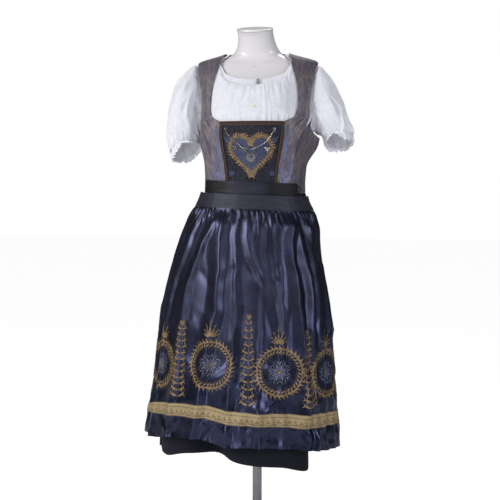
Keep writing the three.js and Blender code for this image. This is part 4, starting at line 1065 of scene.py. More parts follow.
def build_skirt():
    for name, lo, hi, nu, nv, flat in (
        ("skirt_front", -78, 78, 110, 50, (0.64, 0.79)),
        ("skirt_back_right", 78, 180, 160, 96, (0.48, 0.79)),
        ("skirt_back_left", 180, 282, 160, 96, (0.54, 0.79)),
    ):
        u, v = grid(nu, nv)
        edge = 0.06 if name == "skirt_front" else 0.06
        deg = mix(lo + edge, hi - edge, u)
        hem = curve(SKIRT_LEVELS, "hem", deg)
        z = mix(WAIST_Z - 0.6, hem, v**0.85)
        seam = -1.2 * (bump(deg - lo, 0.5) + bump(deg - hi, 0.5))
        P = hang(SKIRT, deg, z, skirt_out(deg, z) + seam + 1.6)
        ob = shell(name + "_cloth", P, 0.9)
        dress(ob, "skirt_cloth", "skirt_cloth", name)


# ---------- apron ----------
APRON_GATHERS = gather_field(7, 36, -97, 97, (3.6, 6.4), (2.0, 4.2), (24, 96))
APRON_CRUMPLE = (
    crumples(11, 26, -95, 95, 600, 900, 2.4, tilt=(-60, 60), long=(50, 130), wide=(12, 26))
    + crumples(13, 60, -95, 95, 290, 640, 5.6, tilt=(-65, 65), long=(50, 130), wide=(9, 19))
    + crumples(17, 40, -95, 95, 290, 560, 2.0, tilt=(-80, 80), long=(24, 60), wide=(5, 9))
    + crumples(19, 34, -64, 60, 305, 410, 5.4, tilt=(-80, 80), long=(36, 90), wide=(7, 13))
    + crumples(23, 46, -95, 95, 236, 296, 5.0, tilt=(-72, 72), long=(24, 70), wide=(6, 13))
)


def apron_z(deg, w):
    stops = [np.full_like(deg, APRON_TOP - 0.6)] + [curve(LEVELS, k, deg) for k in ("trim", "low", "hem")]
    stops = np.stack(stops, -1)
    i = np.minimum(w.astype(int), 2)
    lo = np.take_along_axis(stops, i[..., None], -1)[..., 0]
    hi = np.take_along_axis(stops, i[..., None] + 1, -1)[..., 0]
    return mix(lo, hi, w - i)


def apron_out(deg, z):
    radius = arc_of(APRON, deg, z)
    H = np.zeros_like(deg)
    t = np.clip((APRON_TOP - z) / (APRON_TOP - 290), 0, 1)
    for top, hem, w_top, w_hem, high, start in ((-84, -86, 5, 7, 9, 930), (76, 82, 5, 7, 8, 900)):
        H += high * smooth((start - z) / (0.55 * (start - 290))) * bump(deg - mix(top, hem, t), mix(w_top, w_hem, t))
    H += crease_height(CREASES, deg, z, radius)
    H = add_gathers(H, deg, APRON_TOP - z, radius, APRON_GATHERS)
    return add_crumples(H, deg, z, radius, APRON_CRUMPLE) * smooth((APRON_TOP - z) / 6)


AP_U, AP_ROWS = 360, np.concatenate([np.linspace(0, 1, 100) ** 1.2, np.linspace(1, 2, 9)[1:], np.linspace(2, 3, 14)[1:]])


def apron_grid(lift, rows=AP_ROWS):
    deg = np.broadcast_to(np.linspace(-APRON_EDGE, APRON_EDGE, AP_U + 1), (len(rows), AP_U + 1)).copy()
    z = apron_z(deg, np.broadcast_to(rows[:, None], deg.shape).copy())
    return hang(APRON, deg, z, apron_out(deg, z) + lift), deg, z


def build_apron():
    P, deg, z = apron_grid(1.6)
    ob = shell("apron_cloth", P, 0.8)
    dress(ob, "apron_taffeta", "apron_taffeta", "apron_panel")
    rows = np.linspace(1, 2, 9)
    T, _, _ = apron_grid(2.9, rows)
    mid = np.linalg.norm(np.diff(T[4], axis=0), axis=1)
    s = np.concatenate([[0], np.cumsum(mid)]) * MM
    uv = np.stack(np.broadcast_arrays(s[None, :], (rows[:, None] - 1) * 0.039), -1)
    trim = shell("trim_ribbon", T, 0.8, uv=uv)
    dress(trim, "gold_trim", "gold_trim", "apron_trim")
    return P, deg, z


def flat_band(z0, z1, lift, a0, a1, nu, nv, wob=0.0, seed=0):
    u, v = grid(nu, nv)
    z, a = mix(z0, z1, v), mix(a0, a1, u) * DEG
    rng = np.random.default_rng(seed)
    more = np.zeros_like(u)
    for _ in range(26):
        c, w, h = rng.uniform(0, 1), rng.uniform(0.006, 0.02), rng.uniform(-1, 1) * wob
        more += h * bump(u - c, w) * smooth(v / 0.3 if rng.uniform() < 0.5 else (1 - v) / 0.3)
    p = ring(APRON, a, z) + ring_normal(APRON, a, z, flat=True) * (lift + more)[..., None]
    p[..., 2] -= ROLL * p[..., 0]
    return p


def build_bands():
    ob = shell("waistband", flat_band(999, APRON_TOP, 2.2, -APRON_EDGE, APRON_EDGE, 260, 14, 0.5, 3), 1.2)
    dress(ob, "waistband_rib", "apron_taffeta", "apron_waistband")
    ob = shell("tie_right", flat_band(994, 974, 2.2, APRON_EDGE + 0.3, 184, 120, 6, 0.3, 4), 0.9)
    dress(ob, "waistband_rib", "apron_taffeta", "apron_tie_right")
    ob = shell("tie_left", flat_band(994, 974, 4.6, 176, 360 - APRON_EDGE - 0.3, 120, 6, 0.3, 5), 0.9)
    dress(ob, "waistband_rib", "apron_taffeta", "apron_tie_left")
    # satin belt ribbon: soft lengthwise wrinkles
    u, v = grid(150, 12)
    rng = np.random.default_rng(9)
    more = np.zeros_like(u)
    for _ in range(16):
        c, w, h, r = rng.uniform(0, 1), rng.uniform(0.03, 0.12), rng.uniform(-0.7, 0.7), rng.uniform(0.1, 0.9)
        more += h * bump(u - c, w) * bump(v - r, 0.13)
    a, z = mix(-64, 58, u) * DEG, mix(1036, 999.6, v)
    P = on_body(a, z, 7.2 + more * smooth(np.minimum(u, 1 - u) / 0.03))
    P[..., 2] -= ROLL * P[..., 0]
    ob = shell("belt", P, 0.9)
    dress(ob, "belt_satin", "belt_satin", "apron_belt")
    # the short end of the belt that hangs over the side seam on the right
    path = catmull([on_body(np.array(a * DEG), np.array(z - 5.6), np.array(h)) for a, z, h in (
        (57.4, 1030.0, 8.6), (60.5, 1027.0, 10.0), (62.5, 1019.0, 10.2), (60.5, 1011.0, 9.6), (61.5, 1003.0, 9.6), (63.0, 996.0, 9.2))], 28)
    lump = Lump()
    V, F = tube(path, 1.7, 8)
    lump.add(V, F)
    dress(lump.object("belt_end", 60), "belt_satin", "belt_satin")


# ---------- bodice ----------
def panel_grid(inner, outer, back, nu, nv, lift, flip, corner=None, gap=0.45, gap_out=None, top=0.0, more=None, v0=0.0):
    pin, pout = place_all(inner, back), place_all(outer, back)
    u, v = grid(nu, nv)
    t = mix(v0, 1 - top, v)
    p, q = along(pin, t, corner), along(pout, t)
    sign = -1 if back else 1
    a = p[..., 0] + sign * gap / np.maximum(curve(BODY, "a", p[..., 1]), 1)
    b = q[..., 0] - sign * (gap if gap_out is None else gap_out) / np.maximum(curve(BODY, "a", q[..., 1]), 1)
    angle, z = mix(a, b, u), mix(p[..., 1], q[..., 1], u)
    high = np.full_like(u, lift)
    if more is not None:
        high = high + more(angle, z, u, v)
    if lift > 0:
        high = high - 1.6 * smooth((1012 - z) / 9)
        z = z - 4.5 * smooth((1040 - z) / 36)
    return on_body(flip * angle, z, high), angle, z


def seam_dip(u, width, deep=0.9, first=True, last=True):
    d = np.zeros_like(u)
    if first:
        d -= deep * bump(u, width)
    if last:
        d -= deep * bump(1 - u, width)
    return d


BODY_CRUMPLE = crumples(51, 60, 0, 180, 1015, 1240, 0.9, tilt=(-60, 60), long=(15, 45))


def bodice_more(seed):
    rng = np.random.default_rng(seed)
    waves = [(rng.uniform(0, 1), rng.uniform(1010, 1230), rng.uniform(0.08, 0.25), rng.uniform(25, 60), rng.uniform(-0.9, 0.9)) for _ in range(12)]
    side = [(rng.uniform(0, 1), rng.uniform(1010, 1200), rng.uniform(-1.2, 1.2), rng.uniform(3, 7), rng.uniform(0.3, 1.0)) for _ in range(9)]

    def more(angle, z, u, v):
        h = seam_dip(u, 0.035)
        for c, zc, w, l, k in waves:
            h += k * bump(u - c, w) * bump(z - zc, l)
        for c, zc, slope, w, k in side:
            d = (z - zc) - slope * (u - c) * 60
            h += k * np.exp(-np.abs(d / w) ** 1.5) * bump(u - c, 0.28)
        return h

    return more


def build_bodice():
    for k, (side, flip) in enumerate((("left", -1), ("right", 1))):
        P, _, _ = panel_grid(FRONT_INNER, FRONT_OUTER, False, 36, 124, 1.6, flip, top=0.002, gap=0.3, more=bodice_more(61 + k))
        ob = shell("bodice_front_%s_cloth" % side, P[::-1], 1.2)
        dress(ob, "brocade", "brocade", "bodice_front_" + side)
        B, _, _ = panel_grid(BACK_INNER, BACK_OUTER, True, 48, 110, 1.6, flip, corner=4, top=0.002, gap=0.3, more=bodice_more(71 + k))
        ob = shell("bodice_back_%s_cloth" % side, B[::-1], 1.2)
        dress(ob, "brocade", "brocade", "bodice_back_" + side)
        seam_f, seam_b = place_all(FRONT_OUTER[:10], False), place_all(BACK_OUTER[:6], True)
        stand = 24 if side == "right" else 6
        for part, lo, hi, flat in (("front", 0, 0.42, (0.085, 0.215)), ("back", 0.42, 1, (0.11, 0.215))):
            u, v = grid(44, 70)
            w = mix(lo, hi, u)
            top = mix(mix(1220, 1212, w), 1168, np.sin(math.pi * w) ** 0.7)
            z = mix(999.5, top, v)
            a = hermite(seam_f[:, 1], seam_f[:, 0], z) + 0.22 * DEG
            b = hermite(seam_b[:, 1], seam_b[:, 0], z) - 0.22 * DEG
            angle = mix(a, b, w) + (-u if part == "front" else 1 - u) * 0.09 * DEG
            lift = 1.6 + stand * bump(angle / DEG - 92, 20) * smooth((z - 1078) / 78) - 1.6 * smooth((1007 - z) / 7)
            lift += bodice_more(80 + k * 2 + (part == "back"))(angle, z, u, v)
            S = on_body(flip * angle, z, lift)
            ob = shell("bodice_side_%s_%s_cloth" % (part, side), S[::-1], 1.2)
            # the right front side panel takes the brocade with painted shade
            dress(ob, "brocade_painted_shade" if side == "right" and part == "front" else "brocade", "brocade", "bodice_side_%s_%s" % (part, side))


STOM = place_all(STOMACHER_EDGE, False)


def build_stomacher():
    u, v = grid(60, 70)
    e = along(STOM, v)
    angle = mix(-e[..., 0], e[..., 0], u) * 0.984
    h = 1.6 + 0.5 * np.sin(angle * 9 + 1) * bump(e[..., 1] - 1050, 40)
    P = on_body(angle, e[..., 1], h)
    ob = shell("stomacher", P[::-1], 1.2)
    dress(ob, "stomacher_jacquard", "stomacher_jacquard", "stomacher_panel")
    for side, sign in (("left", -1), ("right", 1)):
        u, v = grid(8, 120)
        e = along(STOM, v * 0.955)
        wide = 9.5 / 160
        inner, outer_ = e[..., 0] + 0.006 - wide, e[..., 0] + 0.006
        R = on_body(sign * mix(outer_, inner, u), e[..., 1], 3.8 + 0.25 * np.sin(np.pi * u))
        uv = np.stack([v * 0.2, mix(0.0085, 0, 1 - u)], -1)
        ob = shell("ribbon_" + side, R, 1.0, uv=uv)
        dress(ob, "velvet_ribbon", "velvet_ribbon", "stomacher_ribbon_" + side)
    u, v = grid(150, 8)
    e0 = STOM[5][0] + 0.006
    R = on_body(mix(-e0, e0, u), 1209.2 - v * 11, 3.8 + 0.25 * np.sin(np.pi * v))
    uv = np.stack([u * 0.2, v * 0.0085], -1)
    ob = shell("ribbon_top", R, 1.0, uv=uv)
    dress(ob, "velvet_ribbon", "velvet_ribbon", "stomacher_ribbon_top")


# ---------- blouse ----------
def fullness(angle, z):
    x = np.abs(np.sin(angle)) * 160
    return np.where(np.cos(angle) > 0, 9 * smooth((118 - x) / 60) * smooth((z - 1222) / 22) * smooth((1345 - z) / 50), 0)


def blouse_pleats(seed, count, z_top=1312.0):
    """Pleats that fan out from the neckband: place on the neck edge, width, height, length, how far they fan."""
    rng = np.random.default_rng(seed)
    return [
        dict(at=(i + 0.5 + rng.uniform(-0.4, 0.4)) / count, wide=rng.uniform(1.5, 3.2), high=rng.uniform(1.4, 3.6), long=rng.uniform(20, 100))
        for i in range(count)
    ]


def build_blouse():
    for k, (side, flip) in enumerate((("left", -1), ("right", 1))):
        pleats = blouse_pleats(91 + k, 24)
        low_pleats = blouse_pleats(95 + k, 12)

        def more(angle, z, u, v, pleats=pleats, low_pleats=low_pleats):
            h = fullness(angle, z)
            # t: position along the neck edge seen from above the front: fan lines spread as they go down
            x = np.sin(angle) * curve(BODY, "a", z)
            neck_z = np.interp(x, [0, 36, 68, 92, 101, 110], [1314, 1316, 1325, 1341, 1362, 1400])
            drop = neck_z - z
            fan = x / (1 + np.clip(drop, 0, 200) * 0.0022)
            for p in pleats:
                c = p["at"] * 104
                t = drop / p["long"]
                w = p["wide"] * (1 + 0.9 * np.clip(t, 0, 1))
                h = h + p["high"] * (1 - smooth((t - 0.15) / 0.85)) * smooth((drop + 6) / 8) * bump(fan - c, w)
            for p in low_pleats:
                c = p["at"] * 125
                up = (z - 1215) / (p["long"] * 0.8)
                h = h + p["high"] * 0.9 * (1 - smooth((up - 0.1) / 0.9)) * bump(x - c, p["wide"] * 1.8)
            return h

        P, _, _ = panel_grid(BLOUSE_INNER, BLOUSE_OUTER, False, 88, 102, BLOUSE_LOW + 1.2, flip, corner=4, gap=-1.5 if flip > 0 else 0.4, gap_out=2,
                             top=0.001, more=lambda a, z, u, v, m=more, f=flip: m(a, z, u, v) + (1.3 * smooth((0.03 - u) / 0.02) if f > 0 else 0))
        ob = shell("blouse_front_%s_cloth" % side, P[::-1], 0.6)
        dress(ob, "blouse_cotton", "blouse_cotton", "blouse_front_" + side)
    halves = []
    for flip in (1, -1):
        def more_b(angle, z, u, v):
            x = np.sin(angle) * curve(BODY, "a", z)
            neck_z = np.interp(x, [0, 32, 60, 79, 88, 96], [1297, 1301, 1315, 1343, 1378, 1400])
            drop = neck_z - z
            h = np.zeros_like(x)
            for p in blouse_pleats(97, 20):
                t = drop / p["long"]
                h += p["high"] * 0.8 * (1 - smooth((t - 0.15) / 0.85)) * smooth((drop + 6) / 8) * bump(x - p["at"] * 92, p["wide"] * (1 + 0.8 * np.clip(t, 0, 1)))
            return h

        P, _, _ = panel_grid(BLOUSE_BACK_INNER, BLOUSE_OUTER, True, 56, 96, BLOUSE_LOW + 1.2, flip, corner=4, gap=0, gap_out=2, top=0.001, more=more_b)
        halves.append(P)
    whole = np.concatenate([halves[0][:, ::-1], halves[1][:, 1:]], 1)
    ob = shell("blouse_back_cloth", whole[::-1], 0.6)
    dress(ob, "blouse_cotton", "blouse_cotton", "blouse_back")
    # neckband
    nf, nb = place_all(BLOUSE_INNER[4:], False), place_all(BLOUSE_BACK_INNER[4:], True)
    u, v = grid(320, 8)
    turn = np.mod(u, 1)
    q = np.where(turn < 0.5, turn * 4, (1 - turn) * 4)
    flip = np.where(turn < 0.5, 1, -1)
    at = np.where((q <= 1)[..., None], along(nf, q), along(nb, 2 - q))
    angle, z = at[..., 0], at[..., 1]
    p = on_body(flip * angle, z, BLOUSE_LOW + 2.5 + fullness(angle, z) * 0.35)
    low = smooth((z - 1318) / 60)
    to = -ring_normal(BODY, flip * angle, z, flat=True) * (v * mix(9.2, 7.5, smooth((z - 1368) / 16)))[..., None]
    rng = np.random.default_rng(101)
    ripple = sum(rng.uniform(0.1, 0.35) * np.sin(2 * np.pi * (k * u + rng.uniform())) for k in (23, 31, 47, 58))
    p = p + to
    top = smooth((z - 1368) / 16)
    p[..., 2] += mix(1.5, -2.2, top) + v * mix(mix(17, 6, low), 2.6, top)
    p = p + unit(np.stack([p[..., 0], p[..., 1], np.zeros_like(z)], -1)) * (ripple * (1 - 0.3 * v) + 0.5 * np.sin(np.pi * v))[..., None]
    ob = shell("neckband", p, 0.9, wrap=True)
    dress(ob, "blouse_cotton", "blouse_cotton", "blouse_neckband")


ARMHOLE = [place_all(BLOUSE_OUTER[3:], False), place_all(BLOUSE_OUTER[3:], True)]


def sleeve_ring(T, flip, k, phi):
    c, s = np.cos(phi), np.sin(phi)
    lift = BLOUSE_LOW + 1.2
    if k == 0:
        f, b = along(ARMHOLE[0], (1 + c) / 2), along(ARMHOLE[1], (1 + c) / 2)
        e = np.where((s > 0)[..., None], b, f)
        inward = np.where(s > 0, -1, 1) * 2 * DEG * np.minimum(1, np.abs(s) * 3)
        drop = np.where(c < -0.6, 3, np.where(c > 0.9, -1.2, 0))
        return on_body(flip * (e[..., 0] + inward), e[..., 1] + drop, np.full_like(c, lift))
    if k == 1:
        angle = 90 + 15.5 * power(s, 0.75)
        return on_body(flip * angle * DEG, 1277 + np.where(c > 0, 98, 96) * c, lift + 1.4 + np.where(c < -0.8, 3, 0))
    ox, oz, ix, iz, d, up = T[k - 2]
    ux, uz = ox - ix, oz - iz
    n = math.hypot(ux, uz)
    return np.stack([
        flip * ((ox + ix) / 2 + ux / 2 * c), 6 + d * s, (oz + iz) / 2 + uz / 2 * c - up * s], -1)


def build_sleeves():
    for side, T, flip, seed in (("left", SLEEVE_LEFT, -1, 111), ("right", SLEEVE_RIGHT, 1, 121)):
        nphi, nv = 200, 72
        phi = np.linspace(0, 2 * np.pi, nphi + 1)
        R = np.stack([sleeve_ring(T, flip, k, phi) for k in range(9)])
        t = np.linspace(0, 8, nv + 1)
        P = hermite(np.arange(9.0), R, t)
        # outward: away from the middle of each ring
        N = grid_normals(P, True)
        mid = P[:, :-1].mean(1, keepdims=True)
        if (N * (P - mid)).sum() < 0:
            N = -N
        rng = np.random.default_rng(seed)
        H = np.zeros(P.shape[:2])
        tt, ph = np.meshgrid(t, phi, indexing="ij")
        for i in range(46):
            c0 = (i + rng.uniform(-0.35, 0.35)) * 2 * np.pi / 46
            w, h, reach = rng.uniform(0.035, 0.075), rng.uniform(1.2, 3.8), rng.uniform(0.8, 3.4)
            d = np.angle(np.exp(1j * (ph - c0 - rng.uniform(-0.03, 0.03) * (8 - tt))))
            H += h * bump(d, w * (1 + 0.4 * (8 - tt))) * (1 - smooth((8 - tt) / reach)) * 1.0
        for i in range(40):
            c0 = (i + rng.uniform(-0.35, 0.35)) * 2 * np.pi / 40
            w, h, reach = rng.uniform(0.04, 0.09), rng.uniform(1.2, 4.2), rng.uniform(1.2, 3.6)
            d = np.angle(np.exp(1j * (ph - c0)))
            H += h * bump(d, w * (1 + 0.3 * tt)) * (1 - smooth((tt - 1.4) / reach)) * smooth((tt - 0.8) / 0.8) * smooth(1.6 - np.abs(np.cos(ph)) * 0.2)
        for i in range(26):
            c0, slope = (i + rng.uniform(-0.4, 0.4)) * 2 * np.pi / 26, rng.uniform(-0.26, 0.26)
            tc, long, w, h = rng.uniform(2.4, 7.4), rng.uniform(1.0, 2.6), rng.uniform(0.06, 0.16), rng.uniform(2.6, 6.0)
            d = np.angle(np.exp(1j * (ph - c0 - slope * (tt - tc))))
            H += h * np.exp(-np.abs(d / w) ** 1.6) * bump(tt - tc, long)
        edge = smooth((tt - 1) / 1.0)
        P = P + N * ((H - 1.5 * edge) * smooth((tt - 0.9) / 0.8))[..., None]
        ob = shell("sleeve_%s" % side, P, 0.6, wrap=True, out=None)
        dress(ob, "sleeve_cotton", "blouse_cotton", "blouse_sleeve_" + side)
        # cuff frill
        ox, oz, ix, iz, d, up = T[6]
        u, v = grid(320, 12)
        ph = u * 2 * np.pi
        c, s = np.cos(ph), np.sin(ph)
        n = math.hypot(ox - ix, oz - iz)
        ux, uz = (ox - ix) / n, (oz - iz) / n
        wave = sum(rng.uniform(0.5, 1.0) * np.sin(k * ph + rng.uniform(0, 6)) for k in (11, 19, 27, 34))
        hem = sum(rng.uniform(0.5, 1.1) * np.sin(k * ph + rng.uniform(0, 6)) for k in (5, 9, 14, 21))
        front = smooth(-s / 0.5)
        # the front edge droops over the outer half and lifts in one soft fold further in
        hang_low = front * ((11 if flip < 0 else 15) * bump(c - (0.75 if flip < 0 else 0.55), 0.5) - (2 if flip < 0 else 9) * bump(c + 0.25, 0.22))
        grow = 1 + v * 0.03
        half, deep = n / 2 * grow, d * grow
        down = np.array([uz, 0, -ux])
        C = np.stack([(ox + ix) / 2 + ux * half * c, 6 + deep * s, (oz + iz) / 2 + uz * half * c - up * s], -1)
        C = C + down * (0.5 + v * np.maximum(10 + hem * 1.7 + hang_low, 3))[..., None]
        radial = unit(np.stack([ux * c, s, uz * c], -1))
        C = C + radial * (wave * smooth(v) * 1.7 - 1.2 * bump(v - 0.12, 0.12))[..., None]
        C[..., 0] *= flip
        ob = shell("cuff_%s" % side, C, 0.6, wrap=True)
        dress(ob, "sleeve_cotton", "blouse_cotton", "blouse_cuff_" + side)


# ---------- fastenings ----------
def front_angle(x, z):
    dx = x - float(curve(CENTRE, "x", z))
    return math.copysign(place((abs(dx), z), False)[0], dx)


def front_frame(x, z, lift):
    """Place on the front of the body, with its right, up and out directions."""
    a = front_angle(x, z)
    p = on_body(np.array(a), np.array(float(z)), np.array(float(lift)))
    n = ring_normal(BODY, np.array(a), np.array(float(z)))
    up = unit(np.array([0, 0, 1.0]) - n * n[2])
    return p, np.cross(up, n), up, n


def catmull(points, n):
    P = np.asarray(points, float)
    Q = np.concatenate([2 * P[:1] - P[1:2], P, 2 * P[-1:] - P[-2:-1]])
    t = np.linspace(0, len(P) - 1 - 1e-9, n)
    i = t.astype(int)
    f = (t - i)[:, None]
    a, b, c, d = Q[i], Q[i + 1], Q[i + 2], Q[i + 3]
    return 0.5 * (2 * b + (c - a) * f + (2 * a - 5 * b + 4 * c - d) * f * f + (3 * b - a - 3 * c + d) * f**3)


CHAIN = [(-74, 1180), (-60, 1164), (-45, 1150), (-26, 1137), (-5, 1131), (15, 1137), (35, 1148), (49, 1162), (61, 1180)]
CHAIN_LOW = [(-40, 1150), (-28, 1136), (-14, 1122), (-4, 1114)]


def chain_links(lump, line, link=3.6, wire=0.55):
    seg = np.linalg.norm(np.diff(line, axis=0), axis=1)
    s = np.concatenate([[0], np.cumsum(seg)])
    count = int(s[-1] / (link * 0.74))
    for k in range(count):
        at = (k + 0.5) * s[-1] / count
        p = np.array([np.interp(at, s, line[:, i]) for i in range(3)])
        q = np.array([np.interp(at + 0.5, s, line[:, i]) for i in range(3)])
        t = unit(q - p)
        n = unit(np.cross(t, [0, 0.3, 1]))
        b = np.cross(t, n)
        turn = math.pi / 4 + (k % 2) * math.pi / 2
        m = math.cos(turn) * n + math.sin(turn) * b
        ang = np.arange(12) * 2 * np.pi / 12
        loop = p + np.outer(np.cos(ang) * link / 2, t) + np.outer(np.sin(ang) * link * 0.3, m)
        V, F = tube(loop, wire, 5, closed=True)
        lump.add(V, F)


def heart_outline(t):
    """A heart about 1 wide each way, point down, by angle."""
    x = 16 * np.sin(t) ** 3
    y = 13 * np.cos(t) - 5 * np.cos(2 * t) - 2 * np.cos(3 * t) - np.cos(4 * t)
    return np.stack([x / 17, (y + 2.5) / 17], -1)


def spiral(centre, right, up, out, r0, r1, turns, start, wire, lump, hand=1, n=22):
    t = np.linspace(0, 1, n)
    r = mix(r0, r1, t)
    a = start + hand * turns * 2 * np.pi * t
    line = centre + np.outer(r * np.cos(a), right) + np.outer(r * np.sin(a), up) + np.outer(np.zeros(n), out)
    V, F = tube(line, wire, 5)
    lump.add(V, F)


def build_heart(name, x, z, node, material, size=9.2, tilt=0.0):
    p, right, up, out = front_frame(x, z, 3.0)
    right, up = math.cos(tilt) * right + math.sin(tilt) * up, math.cos(tilt) * up - math.sin(tilt) * right
    lump = Lump()
    n, m = 40, 7
    o = heart_outline(np.arange(n) * 2 * np.pi / n) * size
    rings, V = [], []
    for j in range(m + 1):
        f = 1 - (j / m) ** 1.6 if j < m else 0
        h = 2.4 * math.sqrt(max(0.0, 1 - f**2.4))
        if j == m:
            V.append(p + out * (0.3 + 2.4))
        else:
            V += [p + right * a * f + up * b * f + out * (0.3 + h) for a, b in o]
    V += [p + right * a * 0.98 + up * b * 0.98 for a, b in o] + [p]
    F = []
    for j in range(m - 1):
        F += [(j * n + i, j * n + (i + 1) % n, (j + 1) * n + (i + 1) % n, (j + 1) * n + i) for i in range(n)]
    top = m * n
    F += [((m - 1) * n + i, (m - 1) * n + (i + 1) % n, top) for i in range(n)]
    b0 = top + 1
    F += [(i, b0 + i, b0 + (i + 1) % n, (i + 1) % n) for i in range(n)]
    F += [(b0 + n, b0 + (i + 1) % n, b0 + i) for i in range(n)]
    lump.add(V, [f[::-1] for f in F])
    for i in range(0, n, 2):
        a, b = o[i]
        lump.ball(p + right * a * 0.93 + up * b * 0.93 + out * 1.5, 0.75, 6, 4)
    for sx in (-1, 1):
        spiral(p + right * sx * 3.6 + up * 2.2 + out * 3.0, right, up, out, 2.4, 0.5, 1.6, 0 if sx > 0 else math.pi, 0.42, lump, sx)
        spiral(p + right * sx * 1.9 - up * 2.4 + out * 3.0, right, up, out, 1.6, 0.4, 1.3, 0 if sx > 0 else math.pi, 0.38, lump, -sx)
    lump.ball(p + up * 7.2 * size / 9 + out * 1.8, 1.1, 8, 5)
    ob = lump.object(name)
    dress(ob, material, "silver", node)


def build_fastenings():
    lump = Lump()
    line = catmull([on_body(np.array(front_angle(x, z)), np.array(float(z)), np.array(6.6)) for x, z in CHAIN], 160)
    chain_links(lump, line)
    low = catmull([on_body(np.array(front_angle(x, z)), np.array(float(z)), np.array(6.9)) for x, z in CHAIN_LOW], 60)
    chain_links(lump, low, 3.2, 0.45)
    dress(lump.object("chain"), "silver", "silver", "lacing_chain")
    build_heart("heart_left", -48, 1133, "lacing_heart_left", "silver_dark", tilt=0.12)
    build_heart("heart_right", 43, 1130, "lacing_heart_right", "silver", tilt=-0.05)
    for side, x in (("left", -76), ("right", 63)):
        p, right, up, out = front_frame(x, 1187, 3.4)
        lump = Lump()
        a = np.arange(16) * 2 * np.pi / 16
        V, F = tube(p + np.outer(3.1 * np.cos(a), right) + np.outer(3.1 * np.sin(a), up), 0.8, 6, True)
        lump.add(V, F)
        hook = p + out * 1.2 + np.array([right * 2.4 * math.sin(t) - up * (3.0 + 2.6 * (1 - math.cos(t))) + out * 0.5 * t for t in np.linspace(0, 2.6, 12)])
        V, F = tube(hook, 0.65, 6)
        lump.add(V, F)
        lump.ball(p + up * 3.4 + out * 0.6, 1.2, 8, 5)
        dress(lump.object("hook_" + side), "silver", "silver", "lacing_hook_" + side)
    # pendant: a small open rosette of wire
    p, right, up, out = front_frame(-4, 1112, 3.4)
    lump = Lump()
    for k in range(6):
        a = k * math.pi / 3
        c = p + (right * math.cos(a) + up * math.sin(a)) * 3.6
        b = np.arange(12) * 2 * np.pi / 12
        V, F = tube(c + np.outer(1.9 * np.cos(b), right) + np.outer(1.9 * np.sin(b), up) + out * 0.6, 0.5, 5, True)
        lump.add(V, F)
    lump.ball(p + out * 1.2, 1.5, 10, 6)
    for k in range(12):
        a = k * math.pi / 6
        lump.ball(p + (right * math.cos(a) + up * math.sin(a)) * 6.1 + out * 0.4, 0.7, 6, 4)
    dress(lump.object("pendant"), "silver_dark", "silver", "lacing_pendant")
    # clasp at the neck: an upright bar of small curls
    z, x = 1323, 13
    a = np.array(front_angle(x, z))
    p = on_body(a, np.array(float(z)), np.array(BLOUSE_LOW + 6.4 + float(fullness(a, np.array(float(z))))))
    _, right, up, out = front_frame(x, z, 0)
    lump = Lump()
    V, F = tube(np.array([p - up * 8.5, p + up * 8.5]), 0.7, 6)
    lump.add(V, F)
    for k, h in enumerate((-7, -2.4, 2.4, 7)):
        for sx in (-1, 1):
            spiral(p + up * h + right * sx * 2.6, right, up, out, 2.5 - 0.2 * abs(k - 1.5), 0.5, 1.35, math.pi if sx > 0 else 0, 0.55, lump, sx)
    for h in (-10, 0, 10):
        lump.ball(p + up * h, 1.2, 8, 5)
    dress(lump.object("clasp"), "silver", "silver", "blouse_clasp")
    # pearl button
    z, x = 1250, 6
    a = np.array(front_angle(x, z))
    p = on_body(a, np.array(float(z)), np.array(BLOUSE_LOW + 3.6 + float(fullness(a, np.array(float(z))))))
    _, right, up, out = front_frame(x, z, 0)
    prof = [(0, -1.2), (3.6, -1.2), (4.3, -0.6), (4.6, 0.2), (4.3, 0.9), (3.7, 1.25), (3.0, 1.0), (2.2, 0.75), (0, 0.7)]
    lump = Lump()
    n = 28
    V, F, rings = [], [], []
    for r, h in prof:
        rings.append([len(V)] * n if r == 0 else [len(V) + i for i in range(n)])
        V += [p + out * h + (right * math.cos(2 * math.pi * i / n) + up * math.sin(2 * math.pi * i / n)) * r for i in range(1 if r == 0 else n)]
    for s, t in zip(rings[:-1], rings[1:]):
        F += [(s[i], s[(i + 1) % n], t[(i + 1) % n], t[i]) for i in range(n)]
    lump.add(V, F)
    for sx, sy in ((-1, 0), (1, 0)):
        lump.ball(p + out * 0.8 + right * sx * 1.0, 0.45, 6, 4)
    dress(lump.object("button"), "pearl", "pearl", "blouse_button")


# ---------- ornament on the apron and the stomacher ----------
class Cloth:
    """Looks up points on a finished cloth grid by degrees and height."""

    def __init__(self, P, deg, z):
        self.P, self.deg, self.z = P, deg[0], z
        self.N = grid_normals(P)
        if (self.N[..., 1] * np.where(np.abs(deg) < 60, 1, 0)).sum() > 0:
            self.N = -self.N

    def at(self, deg, z, lift):
        fu = np.interp(deg, self.deg, np.arange(len(self.deg)))
        i = np.clip(fu.astype(int), 0, len(self.deg) - 2)
        a = fu - i
        out = np.empty(deg.shape + (3,))
        rows = np.arange(len(self.z))
        for k in range(deg.size):
            col = mix(self.z[:, i.flat[k]], self.z[:, i.flat[k] + 1], a.flat[k])
            fv = np.interp(z.flat[k], col[::-1], rows[::-1])
            j = min(max(int(fv), 0), len(rows) - 2)
            b, ii = fv - j, i.flat[k]
            w = np.array([(1 - b) * (1 - a.flat[k]), (1 - b) * a.flat[k], b * (1 - a.flat[k]), b * a.flat[k]])
            q = self.P[[j, j, j + 1, j + 1], [ii, ii + 1, ii, ii + 1]]
            n = self.N[[j, j, j + 1, j + 1], [ii, ii + 1, ii, ii + 1]]
            out.reshape(-1, 3)[k] = w @ q + unit(w @ n) * lift.flat[k]
        return out


